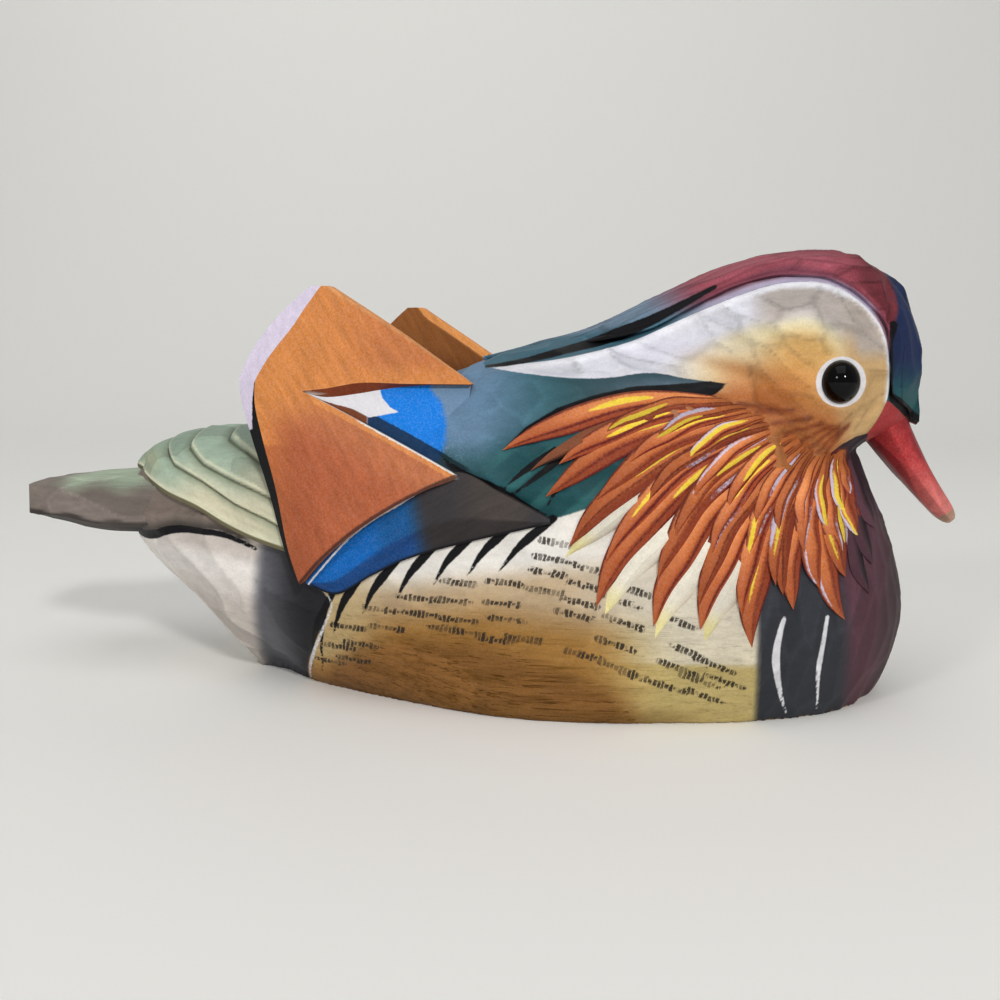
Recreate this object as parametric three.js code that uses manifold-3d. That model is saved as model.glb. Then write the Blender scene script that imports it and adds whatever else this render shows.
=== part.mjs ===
// A mandarin duck carved from one block of wood and painted, with two black bead eyes.
// Millimetres. The bill points along +X, the duck's left is +Y and up is +Z.
// The origin is on the underside, at the middle of the length and the width.

import * as THREE from 'three';
import Module from 'manifold-3d';
import { mergeVertices } from 'three/addons/utils/BufferGeometryUtils.js';

const wasm = await Module();
wasm.setup();

// The shapes below are laid out from a line across the back, just behind the front corner
// of the right sail. This moves them all so that the origin is at the middle of the length.
const TO_MIDDLE_OF_LENGTH = -2.07;

// Trunk: from the rump under the tail to the front of the breast.
// Each profile is a short list of [x, size] through which a smooth curve runs.
const TRUNK_REAR_X = -54;
const TRUNK_FRONT_X = 67.2;
const TRUNK_TOP = profile([
  [-55, 28], [-52, 32.6], [-50, 34.4], [-42, 36.6], [-30, 37.8], [-18, 39.6], [-8, 43], [0, 48.2], [12, 52.2],
  [24, 54], [36, 53], [46, 48.5], [54, 42], [60, 36], [62.4, 30.5], [65.2, 23.5], [66.6, 19], [67.2, 15],
]);
const TRUNK_KEEL = profile([
  [-54, 22.6], [-51, 18.4], [-47, 13.8], [-43, 9.6], [-39.4, 5.7], [-36, 2], [-33.5, 0],
  [62.5, 0], [64.5, 1.6], [65.8, 4.2], [67.2, 11],
]);
const BASE_HALF = profile([
  [-55, 0.4], [-33.5, 0.6], [-24, 7], [-13.3, 13.5], [1.7, 20], [10.6, 22.6], [17, 23.4], [24, 23],
  [35, 21.2], [45, 18.8], [54.5, 14.2], [58.5, 10.4], [61, 6.8], [62.5, 3.2], [67.2, 0.4],
]);
const WIDEST_HALF = profile([
  [-54, 8], [-48, 11.6], [-40, 14.6], [-28, 18.6], [-14, 21.6], [0, 23.8], [12, 24.8], [24, 25],
  [35, 24.2], [45, 22.6], [54.5, 18.8], [60, 14.6], [64, 9.9], [66.4, 5.4], [67.2, 2.2],
]);
const WIDEST_Z = profile([[-55, 27], [-44, 24], [-28, 18], [-10, 14.5], [10, 13.5], [67.2, 13]]);
const TRUNK_SQUARENESS = profile([[-55, 2.2], [-24, 2.6], [-4, 3.1], [10, 3.1], [26, 2.5], [67.2, 2.1]]);
const TRUNK_STATIONS = 32;
const TRUNK_BELLY_STEPS = 5;
const TRUNK_BACK_STEPS = 8;

// Head: cheeks and brow, grown out of the back
const HEAD_REAR_X = 2;
const HEAD_FRONT_X = 68.4;
const CREST_TOP = profile([
  [-3, 48.8], [3.3, 51.1], [12.4, 53.4], [18.7, 54.9], [27.8, 58.8], [36.2, 62.8], [41.3, 64.6],
  [46.2, 65.8], [52.8, 66.4], [57.8, 65.7], [61.1, 64.3], [64, 62.5], [66.1, 60.2], [67.6, 57.4], [68.6, 53],
]);
const HEAD_BOTTOM = profile([
  [2, 44], [20, 40], [34, 34], [50, 32.5], [57, 34.8], [60, 37.4], [64, 39.4], [68.4, 41.6],
]);
const HEAD_HALF = profile([
  [2, 2.4], [12, 7.4], [20, 10], [28, 12], [38, 13.8], [48, 14.4], [55.7, 13.7], [61, 11.6],
  [64.5, 9], [67, 5.8], [68.4, 3],
]);
const CHEEK_Z = profile([[2, 47], [20, 46.4], [50, 45.6], [62, 46.4], [68.4, 47.5]]);
const HEAD_SQUARENESS = 2.35;
const HEAD_STATIONS = 20;
const HEAD_STEPS = 6;

// Crest: the cap that runs from the back of the neck over the crown and down the forehead
const CREST_REAR_X = 4;
const CREST_EDGE_Z = profile([
  [4, 50.3], [12, 51.6], [20, 52.4], [29, 54.2], [36.5, 58], [42, 60.5], [50, 62], [58.6, 60.8],
  [62, 58.2], [64.2, 53], [65.4, 46], [66.6, 42], [68.6, 41],
]);
const CREST_STEP = 0.9;
const CREST_STATIONS = 22;
const CREST_STEPS = 5;

// Eyes: black beads let into the cheeks
const EYE_RADIUS = 3.05;
const EYE_X = 55.8;
const EYE_Z = 46.9;
const EYE_PROUD = 1.7;
const EYE_GAP = 0.3;
const EYE_SEGMENTS = 16;

// Bill: droops from under the forehead
const BILL_ROOT = new THREE.Vector2(62.6, 43);
const BILL_TIP = new THREE.Vector2(74.1, 26.1);
const BILL_DEPTH = profile([[0, 3.9], [0.3, 2.9], [0.6, 2.4], [0.85, 2.1], [0.96, 1.6], [1, 0.9]]);
const BILL_HALF = profile([[0, 4.6], [0.3, 4.2], [0.6, 3.8], [0.85, 3.5], [0.96, 2.6], [1, 1.3]]);
const BILL_BOW = 0.5;
const BILL_STATIONS = [0, 0.18, 0.36, 0.54, 0.72, 0.85, 0.93, 0.98, 1];
const BILL_SEGMENTS = 12;

// Tail: a thick blade with bevelled lower edges
const TAIL_END_X = -70.8;
const TAIL_ROOT_X = -42;
const TAIL_TOP = profile([[-71, 30.3], [-66, 31.4], [-60, 32], [-42, 32.6]]);
const TAIL_BOTTOM = profile([[-71, 24.7], [-64, 23.6], [-54, 22.2], [-42, 20.6]]);
const TAIL_HALF = profile([[-71, 5.8], [-69.6, 7.8], [-62, 10.6], [-54, 12.2], [-42, 13.4]]);
const TAIL_STATIONS = 7;

// Coverts: four layers of feathers that drape over the rump, each on top of the one behind it
const COVERT_FRONT_X = -10;
const COVERT_FADE_X = -27;
const COVERT_TOP = profile([
  [-54, 36.8], [-50, 37.7], [-46, 38.4], [-42, 39.1], [-36, 39.4], [-28, 40], [-18, 41.2], [-10, 42.4],
]);
const COVERT_LAYERS = [
  { nose: -53.8, noseZ: 33.6, slope: -0.345, side: 1.5, crown: 0 },
  { nose: -47.8, noseZ: 36.4, slope: -0.42, side: 2.5, crown: 0.3 },
  { nose: -43.2, noseZ: 38, slope: -0.42, side: 3.5, crown: 0.6 },
  { nose: -39.2, noseZ: 39.8, slope: -0.41, side: 4.5, crown: 0.9 },
];
const COVERT_ROUNDING = 12;
const COVERT_BROW = 4;
const COVERT_STATIONS = 12;
const COVERT_STEPS = 6;

// Sails: the upright wing blades. Their outer face leans and twists a little, and is
// worked out from its half-width at one reference point and three slopes.
const SAIL_FACE = { half: 23.3, alongX: 0.075, alongZ: -0.347, twist: -0.01347, atZ: 34 };
const SAIL_REAR = profile([
  [18.3, -19.3], [24.9, -22], [30.9, -24.3], [36.5, -26.2], [41.8, -28], [47, -29.2], [50.1, -28.2],
  [53.5, -26.1], [57.6, -21.9], [60.3, -17.2],
]);
const SAIL_FRONT = profile([
  [18.3, -18.7], [22, -15.3], [25.9, -10.7], [29.5, -5.2], [32.2, -0.1], [34, 4], [40, 5.4], [46.4, 6.5],
  [53, -4], [60.3, -15.6],
]);
const SAIL_LEVELS = [18.3, 22, 25.9, 29.5, 32.2, 34, 40, 46.4, 49.5, 53, 56.4, 58.6, 60.3];
const SAIL_THICKNESS = 3.8;
const SAIL_REAR_BEVEL = profile([[18.3, 0.5], [30, 1.8], [44, 2.6], [48, 3.6], [57, 3.4], [60.3, 1.2]]);
const SAIL_BEVEL_DEPTH = 0.6;
const SAIL_INNER_BEVEL = 1.5;
const SAIL_FREE_ABOVE_Z = 46;
const LEFT_SAIL_LOWER = 1.4;

// The wedge cut into each sail, open to the front, that leaves the blue wing patch behind it
const WEDGE_REAR_X = -18.4;
const WEDGE_FRONT_X = 8;
const WEDGE_DEPTH = 1.3;
const WEDGE_RUN_OUT_X = -4;
const WEDGE_LIP_Z = profile([[-18.4, 45.2], [-14, 46], [-6, 46.6], [8, 46.4]]);
const WEDGE_SILL_Z = profile([[-18.4, 45.1], [4, 34], [8, 32]]);
const WEDGE_STATIONS = 8;

// The left wing was carved a little further forward than the right one.
const LEFT_WING_AHEAD = 5.6;

// The folded wing's lower band, between the sail and the flank
const BAND_REAR_X = -17.6;
const BAND_FRONT_X = 17;
const BAND_TOP_Z = profile([
  [-17.6, 19.4], [-10.7, 26.6], [-5.2, 30.2], [4, 34.6], [10.4, 31.9], [17, 28.6],
]);
const BAND_FOOT_Z = profile([
  [-17.6, 18.6], [-14.4, 16.8], [-8.3, 19.8], [-3.1, 22.4], [5.5, 25.1], [17, 28],
]);
const BAND_PROUD = 0.8;
const BAND_STATIONS = 10;

// Ruff: pointed feathers that fan out from behind the bill over the side of the breast,
// in a long tier and a shorter one on top of it
const RUFF_TIERS = [
  { feathers: 11, first: 0, last: 1, reach: 1, lift: 0 },
  { feathers: 10, first: 0.05, last: 0.95, reach: 0.8, lift: 0.7 },
];
const RUFF_CENTRE = new THREE.Vector2(51.5, 41.2);
const RUFF_ROOT_RADIUS = 5;
const RUFF_FIRST_ANGLE = 183;
const RUFF_LAST_ANGLE = 290;
const RUFF_LENGTH = profile([[0, 40], [0.15, 35], [0.36, 36.5], [0.6, 30.5], [0.8, 25], [0.92, 25], [1, 17]]);
const RUFF_BEND = 15;
const RUFF_WIDTH = profile([[0, 0.8], [0.35, 1.7], [0.7, 2.8], [0.88, 1.9], [1, 0.12]]);
const RUFF_RIDGE = profile([[0, 0.4], [0.4, 0.9], [0.8, 1.5], [1, 0.5]]);
const RUFF_EDGE = 0.3;
const RUFF_SINK = 2.6;
const RUFF_STEPS = 6;

// Paint colours of the two materials
const PAINTED_WOOD = { color: 0xa9754a, roughness: 0.6, metalness: 0 };
const BLACK_BEAD = { color: 0x0b0b0d, roughness: 0.08, metalness: 0 };

// Returns a smooth curve through the points, without overshoot between them.
function profile(points) {
  const last = points.length - 1;
  const slopes = points.slice(1).map(([x, y], i) => (y - points[i][1]) / (x - points[i][0]));
  const tangents = points.map((_, i) => {
    if (i === 0) return slopes[0];
    if (i === last) return slopes[last - 1];
    if (slopes[i - 1] * slopes[i] <= 0) return 0;
    return (2 * slopes[i - 1] * slopes[i]) / (slopes[i - 1] + slopes[i]);
  });
  return (x) => {
    if (x <= points[0][0]) return points[0][1];
    if (x >= points[last][0]) return points[last][1];
    const i = points.findIndex(([next]) => next > x) - 1;
    const [x0, y0] = points[i];
    const [x1, y1] = points[i + 1];
    const run = x1 - x0;
    const t = (x - x0) / run;
    const hermite = (1 + 2 * t) * (1 - t) ** 2 * y0 + t * t * (3 - 2 * t) * y1;
    return hermite + run * (t * (1 - t) ** 2 * tangents[i] + t * t * (t - 1) * tangents[i + 1]);
  };
}

// Numbers evenly spread from one end to the other, both included.
function spread(from, to, count) {
  return Array.from({ length: count }, (_, i) => from + ((to - from) * i) / (count - 1));
}

// Numbers from one end to the other, closer together towards both ends.
function spreadToEnds(from, to, count) {
  return spread(0, Math.PI, count).map((angle) => {
    const even = angle / Math.PI;
    const eased = (1 - Math.cos(angle)) / 2;
    return from + (to - from) * (0.55 * even + 0.45 * eased);
  });
}

// Skins a row of rings, each with as many points as the next, and closes both ends with a fan.
function skin(rings) {
  const size = rings[0].length;
  const positions = rings.flat().flatMap((p) => [p.x, p.y, p.z]);
  const indices = [];
  for (let r = 0; r < rings.length - 1; r += 1) {
    for (let i = 0; i < size; i += 1) {
      const j = (i + 1) % size;
      const [a, b] = [r * size + i, r * size + j];
      indices.push(a, b, b + size, a, b + size, a + size);
    }
  }
  [rings[0], rings.at(-1)].forEach((ring, end) => {
    const centre = ring.reduce((sum, p) => sum.add(p), new THREE.Vector3()).divideScalar(size);
    const hub = positions.length / 3;
    positions.push(centre.x, centre.y, centre.z);
    const start = end * (rings.length - 1) * size;
    for (let i = 0; i < size; i += 1) {
      const j = (i + 1) % size;
      indices.push(hub, start + (end ? i : j), start + (end ? j : i));
    }
  });
  const geometry = new THREE.BufferGeometry();
  geometry.setAttribute('position', new THREE.Float32BufferAttribute(positions, 3));
  geometry.setIndex(indices);
  return geometry;
}

// Turns a closed geometry into a solid, with its faces outward.
function solid(geometry) {
  const bare = geometry.clone();
  bare.deleteAttribute('normal');
  bare.deleteAttribute('uv');
  const merged = mergeVertices(bare, 1e-4);
  const vertProperties = Float32Array.from(merged.attributes.position.array);
  const triVerts = Uint32Array.from(merged.index.array);
  if (signedVolume(vertProperties, triVerts) < 0) triVerts.reverse();
  return new wasm.Manifold(new wasm.Mesh({ numProp: 3, vertProperties, triVerts }));
}

function signedVolume(vertices, triangles) {
  const at = (i) => new THREE.Vector3().fromArray(vertices, 3 * triangles[i]);
  let volume = 0;
  for (let i = 0; i < triangles.length; i += 3) {
    volume += at(i).dot(at(i + 1).cross(at(i + 2)));
  }
  return volume;
}

function geometryOf(manifold) {
  const mesh = manifold.getMesh();
  const geometry = new THREE.BufferGeometry();
  geometry.setAttribute('position', new THREE.BufferAttribute(mesh.vertProperties, 3));
  geometry.setIndex(new THREE.BufferAttribute(mesh.triVerts, 1));
  return geometry;
}

// A shape made on the duck's right side, and its mirror image on the left, which may sit ahead
// and lower.
function bothSides(geometry, leftAhead = 0, leftLower = 0) {
  const mirrored = geometry.clone().scale(1, -1, 1).translate(leftAhead, 0, -leftLower);
  return [solid(geometry), solid(mirrored)];
}

// One quarter of a rounded section: how far out it is at a share of its height.
function roundedOff(share, squareness) {
  const clamped = Math.min(Math.max(share, 0), 1);
  return (1 - clamped ** squareness) ** (1 / squareness);
}

// Points of a rounded quarter, from its widest point to its top, as [across, up] shares.
function quarter(steps, squareness) {
  return spread(0, Math.PI / 2, steps + 1).map((angle) => [
    Math.max(Math.cos(angle), 0) ** (2 / squareness),
    Math.sin(angle) ** (2 / squareness),
  ]);
}

// Closes a half section, listed from the bottom middle to the top middle, into a ring.
function mirroredRing(half, place) {
  const inner = half.slice(1, -1);
  const left = half.map(([y, z]) => place(-y, z));
  const right = inner.reverse().map(([y, z]) => place(y, z));
  return [...left, ...right];
}

// How far out the trunk's side is at a place along it and a height.
function trunkHalf(x, z) {
  const widest = WIDEST_HALF(x);
  const widestZ = WIDEST_Z(x);
  if (z >= widestZ) {
    return widest * roundedOff((z - widestZ) / (TRUNK_TOP(x) - widestZ), TRUNK_SQUARENESS(x));
  }
  const rise = Math.max((z - TRUNK_KEEL(x)) / (widestZ - TRUNK_KEEL(x)), 0);
  return BASE_HALF(x) + (widest - BASE_HALF(x)) * (1 - (1 - rise) ** 2);
}

function headTop(x) {
  return CREST_TOP(x) - 1.1;
}

function headHalf(x, z) {
  if (x < HEAD_REAR_X || x > HEAD_FRONT_X) return 0;
  const cheekZ = CHEEK_Z(x);
  const reach = z > cheekZ ? headTop(x) - cheekZ : cheekZ - HEAD_BOTTOM(x);
  return HEAD_HALF(x) * roundedOff(Math.abs(z - cheekZ) / reach, HEAD_SQUARENESS);
}

// The side of head and trunk together, with the valley between them filled.
function sideHalf(x, z) {
  const fill = 7;
  return (trunkHalf(x, z) ** fill + headHalf(x, z) ** fill) ** (1 / fill);
}

function trunk() {
  const rings = spreadToEnds(TRUNK_REAR_X, TRUNK_FRONT_X, TRUNK_STATIONS).map((x) => {
    const keel = TRUNK_KEEL(x);
    const widestZ = WIDEST_Z(x);
    const belly = spread(0, 1, TRUNK_BELLY_STEPS + 1).slice(0, -1).map((rise) => {
      const z = keel + (widestZ - keel) * rise;
      return [trunkHalf(x, z), z];
    });
    const back = quarter(TRUNK_BACK_STEPS, TRUNK_SQUARENESS(x)).map(([across, up]) => [
      WIDEST_HALF(x) * across,
      widestZ + (TRUNK_TOP(x) - widestZ) * up,
    ]);
    const half = [[0, keel], ...belly, ...back];
    return mirroredRing(half, (y, z) => new THREE.Vector3(x, y, z));
  });
  return solid(skin(rings));
}

function head() {
  const rings = spreadToEnds(HEAD_REAR_X, HEAD_FRONT_X, HEAD_STATIONS).map((x) => {
    const arc = quarter(HEAD_STEPS, HEAD_SQUARENESS);
    const cheekZ = CHEEK_Z(x);
    const lower = [...arc].reverse().slice(0, -1).map(([across, up]) => [
      HEAD_HALF(x) * across,
      cheekZ - (cheekZ - HEAD_BOTTOM(x)) * up,
    ]);
    const upper = arc.map(([across, up]) => [HEAD_HALF(x) * across, cheekZ + (headTop(x) - cheekZ) * up]);
    return mirroredRing([...lower, ...upper], (y, z) => new THREE.Vector3(x, y, z));
  });
  return solid(skin(rings));
}

function crest() {
  const rings = spread(CREST_REAR_X, HEAD_FRONT_X + 0.2, CREST_STATIONS).map((x) => {
    const edgeZ = CREST_EDGE_Z(x);
    const edgeHalf = Math.max(headHalf(Math.min(x, HEAD_FRONT_X - 0.4), edgeZ) + CREST_STEP, 2.2);
    const arch = quarter(CREST_STEPS, 2.2).map(([across, up]) => [
      edgeHalf * across,
      edgeZ + (CREST_TOP(x) - edgeZ) * up,
    ]);
    const half = [[0, edgeZ - 3], [edgeHalf * 0.7, edgeZ - 0.6], ...arch];
    return mirroredRing(half, (y, z) => new THREE.Vector3(x, y, z));
  });
  return solid(skin(rings));
}

function bill() {
  const along = BILL_TIP.clone().sub(BILL_ROOT);
  const culmen = new THREE.Vector2(-along.y, along.x).normalize();
  const rings = BILL_STATIONS.map((share) => {
    const bow = BILL_BOW * Math.sin(Math.PI * share);
    const middle = BILL_ROOT.clone().addScaledVector(along, share).addScaledVector(culmen, -bow);
    return spread(0, 2 * Math.PI, BILL_SEGMENTS + 1).slice(0, -1).map((angle) => {
      const out = Math.cos(angle) * BILL_DEPTH(share);
      return new THREE.Vector3(
        middle.x + culmen.x * out,
        Math.sin(angle) * BILL_HALF(share),
        middle.y + culmen.y * out,
      );
    });
  });
  return solid(skin(rings));
}

function tail() {
  const rings = spread(TAIL_END_X, TAIL_ROOT_X, TAIL_STATIONS).map((x) => {
    const [half, top, bottom] = [TAIL_HALF(x), TAIL_TOP(x), TAIL_BOTTOM(x)];
    const section = [[0, bottom], [half * 0.66, bottom], [half, bottom + 1.8],
      [half * 0.94, top - 1.8], [half * 0.68, top - 0.4], [0, top]];
    return mirroredRing(section, (y, z) => new THREE.Vector3(x, y, z));
  });
  return solid(skin(rings));
}

function covertLayer({ nose, noseZ, slope, side, crown }) {
  const rings = spread(0, 1, COVERT_STATIONS).map((share) => {
    const x = nose + (COVERT_FRONT_X - nose) * share ** 1.6;
    const edgeZ = noseZ + slope * (x - nose);
    const round = roundedOff(1 - (x - nose + 0.35) / COVERT_ROUNDING, 2);
    const brow = roundedOff(1 - (x - nose + 0.35) / COVERT_BROW, 2);
    const left = Math.min(Math.max((COVERT_FRONT_X - x) / (COVERT_FRONT_X - COVERT_FADE_X), 0), 1);
    const bodyHalf = Math.max(trunkHalf(Math.max(x, TRUNK_REAR_X), edgeZ), 5);
    const edgeHalf = (bodyHalf + side * left - (1 - left)) * round;
    const crest = (TRUNK_TOP(x) - 2) * (1 - left) + (COVERT_TOP(x) + crown) * left;
    const top = edgeZ + (crest - edgeZ) * brow;
    const arch = quarter(COVERT_STEPS, 2.3).map(([across, up]) => [edgeHalf * across, edgeZ + (top - edgeZ) * up]);
    const half = [[0, edgeZ - 0.8], [edgeHalf * 0.8, edgeZ - 0.5], ...arch];
    return mirroredRing(half, (y, z) => new THREE.Vector3(x, y, z));
  });
  return solid(skin(rings));
}

// The outer face of a sail on the duck's right side.
function sailFaceY(x, z) {
  const rise = z - SAIL_FACE.atZ;
  return -(SAIL_FACE.half + SAIL_FACE.alongX * x + SAIL_FACE.alongZ * rise + SAIL_FACE.twist * x * rise);
}

function sail() {
  const rings = SAIL_LEVELS.map((z) => {
    const rear = SAIL_REAR(z);
    const front = Math.max(SAIL_FRONT(z), rear + 0.6);
    const bevel = Math.min(SAIL_REAR_BEVEL(z), (front - rear) * 0.6);
    const faceRear = rear + bevel;
    const inner = (x) => sailFaceY(x, z) + SAIL_THICKNESS;
    const free = z > SAIL_FREE_ABOVE_Z ? SAIL_INNER_BEVEL : 0;
    return [
      new THREE.Vector3(faceRear, sailFaceY(faceRear, z), z),
      new THREE.Vector3(front, sailFaceY(front, z), z),
      new THREE.Vector3(front, inner(front) - free, z),
      new THREE.Vector3(front - Math.min(free * 1.5, (front - rear) * 0.3), inner(front), z),
      new THREE.Vector3(rear + 0.3, inner(rear), z),
      new THREE.Vector3(rear, sailFaceY(rear, z) + bevel * SAIL_BEVEL_DEPTH, z),
    ];
  });
  return skin(rings);
}

function sailWedge() {
  const outside = 3;
  const rings = spread(WEDGE_REAR_X, WEDGE_FRONT_X, WEDGE_STATIONS).map((x) => {
    const depth = WEDGE_DEPTH * Math.min(1, 0.25 + (x - WEDGE_REAR_X) / 12);
    const [lip, sill] = [WEDGE_LIP_Z(x), WEDGE_SILL_Z(x)];
    const runOut = THREE.MathUtils.smoothstep(x, WEDGE_RUN_OUT_X, WEDGE_FRONT_X);
    const floor = (z) => THREE.MathUtils.lerp(sailFaceY(x, z) + depth, -trunkHalf(x, z) - 0.1, runOut);
    return [
      new THREE.Vector3(x, floor(sill), sill),
      new THREE.Vector3(x, floor(lip), lip),
      new THREE.Vector3(x, sailFaceY(x, lip) - outside, lip),
      new THREE.Vector3(x, sailFaceY(x, sill) - outside, sill),
    ];
  });
  return skin(rings);
}

// The lower band of a folded wing that sits ahead of the right one by the given distance.
function wingBand(ahead) {
  const rings = spread(BAND_REAR_X, BAND_FRONT_X, BAND_STATIONS).map((x) => {
    const [top, foot] = [BAND_TOP_Z(x), BAND_FOOT_Z(x)];
    const middle = (top + foot) / 2;
    const outer = (z) => -(trunkHalf(x + ahead, z) + BAND_PROUD);
    return [
      new THREE.Vector3(x, outer(foot), foot),
      new THREE.Vector3(x, outer(middle), middle),
      new THREE.Vector3(x, outer(top), top),
      new THREE.Vector3(x, outer(top) + 3, top),
      new THREE.Vector3(x, outer(foot) + 3, foot),
    ];
  });
  return skin(rings);
}

// One pointed feather of the ruff: a ridged blade that lies along the side of the duck.
function ruffFeather(share, { reach: shorter, lift }) {
  const angle = THREE.MathUtils.degToRad(RUFF_FIRST_ANGLE + (RUFF_LAST_ANGLE - RUFF_FIRST_ANGLE) * share);
  const length = RUFF_LENGTH(share) * shorter - RUFF_ROOT_RADIUS;
  const bend = THREE.MathUtils.degToRad(RUFF_BEND) * Math.sin(Math.PI * Math.min(share * 1.2 + 0.1, 1));
  const middle = (s) => {
    const heading = angle - bend * (1 - s);
    const reach = RUFF_ROOT_RADIUS + length * s;
    return new THREE.Vector2(Math.cos(heading), Math.sin(heading)).multiplyScalar(reach).add(RUFF_CENTRE);
  };
  const rings = spread(0, 1, RUFF_STEPS).map((s) => {
    const place = middle(s);
    const ahead = middle(s + 0.02).sub(middle(s - 0.02)).normalize();
    const across = new THREE.Vector2(-ahead.y, ahead.x).multiplyScalar(RUFF_WIDTH(s));
    const lay = (shift, proud) => {
      const p = place.clone().addScaledVector(across, shift);
      return new THREE.Vector3(p.x, -(sideHalf(p.x, p.y) + proud), p.y);
    };
    const raised = lift * Math.min(3 * s, 1);
    return [
      lay(-1, RUFF_EDGE + raised),
      lay(0, RUFF_RIDGE(s) + raised),
      lay(1, RUFF_EDGE + raised),
      lay(0, -RUFF_SINK),
    ];
  });
  return skin(rings);
}

// A bead's centre, sunk into the cheek so that a low dome of it shows.
function eyeCentre(side) {
  const cheek = headHalf(EYE_X, EYE_Z);
  return new THREE.Vector3(EYE_X, side * (cheek + EYE_PROUD - EYE_RADIUS), EYE_Z);
}

function ball(radius) {
  const sphere = new THREE.SphereGeometry(radius, EYE_SEGMENTS, EYE_SEGMENTS / 2);
  return sphere.rotateX(Math.PI / 2);
}

function carvedBlock() {
  const block = [
    trunk(),
    head(),
    crest(),
    bill(),
    tail(),
    ...COVERT_LAYERS.map(covertLayer),
    solid(wingBand(0)),
    solid(wingBand(LEFT_WING_AHEAD).scale(1, -1, 1).translate(LEFT_WING_AHEAD, 0, 0)),
    ...bothSides(sail(), LEFT_WING_AHEAD, LEFT_SAIL_LOWER),
  ].reduce((sum, piece) => sum.add(piece));
  const cut = bothSides(sailWedge(), LEFT_WING_AHEAD, LEFT_SAIL_LOWER)
    .reduce((sum, wedge) => sum.subtract(wedge), block);
  const feathered = RUFF_TIERS
    .flatMap((tier) => spread(tier.first, tier.last, tier.feathers).map((share) => ruffFeather(share, tier)))
    .flatMap((feather) => bothSides(feather))
    .reduce((sum, feather) => sum.add(feather), cut);
  return [-1, 1].reduce((sum, side) => {
    const centre = eyeCentre(side);
    const socket = ball(EYE_RADIUS + EYE_GAP).translate(centre.x, centre.y, centre.z);
    return sum.subtract(solid(socket));
  }, feathered);
}

function named(name, geometry, finish) {
  const mesh = new THREE.Mesh(geometry, new THREE.MeshStandardMaterial(finish));
  mesh.name = name;
  return mesh;
}

function eye(name, side) {
  const mesh = named(name, geometryOf(solid(ball(EYE_RADIUS))), BLACK_BEAD);
  mesh.position.copy(eyeCentre(side));
  return mesh;
}

const duck = new THREE.Group();
duck.position.x = TO_MIDDLE_OF_LENGTH;
duck.add(named('duck_body', geometryOf(carvedBlock()), PAINTED_WOOD));
duck.add(eye('eye_right', -1));
duck.add(eye('eye_left', 1));

export default duck;
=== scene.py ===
"""A mandarin duck carved from one block of wood and painted by hand, with two bead eyes.

Lengths are in millimetres in the carver's frame: the bill points along +X, the duck's left
is +Y, up is +Z, and x = 0 is a line across the back behind the right sail's front corner.
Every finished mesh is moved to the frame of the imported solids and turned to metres.
"""

from __future__ import annotations

import logging
import math
from dataclasses import dataclass
from enum import Enum
from typing import Callable, Sequence

import bpy
import numpy as np
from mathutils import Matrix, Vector

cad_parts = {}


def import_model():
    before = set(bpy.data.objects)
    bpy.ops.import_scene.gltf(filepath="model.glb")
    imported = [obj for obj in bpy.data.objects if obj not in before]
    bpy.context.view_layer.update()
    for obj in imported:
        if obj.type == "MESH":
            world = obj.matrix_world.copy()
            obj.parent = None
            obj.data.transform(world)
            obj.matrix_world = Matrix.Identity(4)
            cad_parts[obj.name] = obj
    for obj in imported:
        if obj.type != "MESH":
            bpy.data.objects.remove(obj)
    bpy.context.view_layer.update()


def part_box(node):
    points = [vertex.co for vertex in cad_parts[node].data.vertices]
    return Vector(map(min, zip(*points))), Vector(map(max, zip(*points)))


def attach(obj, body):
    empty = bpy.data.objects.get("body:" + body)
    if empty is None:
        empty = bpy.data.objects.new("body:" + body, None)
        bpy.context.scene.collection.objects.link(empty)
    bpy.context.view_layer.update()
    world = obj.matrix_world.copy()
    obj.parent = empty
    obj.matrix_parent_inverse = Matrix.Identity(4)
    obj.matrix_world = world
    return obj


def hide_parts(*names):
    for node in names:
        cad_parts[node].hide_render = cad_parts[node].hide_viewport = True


LOG = logging.getLogger("mandarin_duck")
MM = 0.001
CARVING_NODE = "duck_body"
CARVING_REAR_X = -70.8
SEED = 19
DUCK_MIDDLE = (0.00423, 0.0, 0.028)
WOOD_SLOT = "painted_wood"
BEAD_SLOT = "black_bead"

Array = np.ndarray
Point = tuple[float, float]
Tint = tuple[float, float, float]
Vec3 = tuple[float, float, float]
Rng = np.random.Generator
Piece = bpy.types.Object
Material = bpy.types.Material
Socket = bpy.types.NodeSocket
Colouring = Callable[["Shader"], Socket]


class Side(Enum):
    """The duck's two sides, each with the sign of its Y."""

    RIGHT = -1
    LEFT = 1

    @property
    def word(self) -> str:
        """The side's name, for the names of pieces."""
        return self.name.lower()


class Area(Enum):
    """The areas of paint on the head and the trunk, each a colour of its own per vertex."""

    COAT = "paint_coat"
    LOWER = "paint_lower"
    FACE = "paint_face"
    CAP = "paint_cap"


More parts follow.
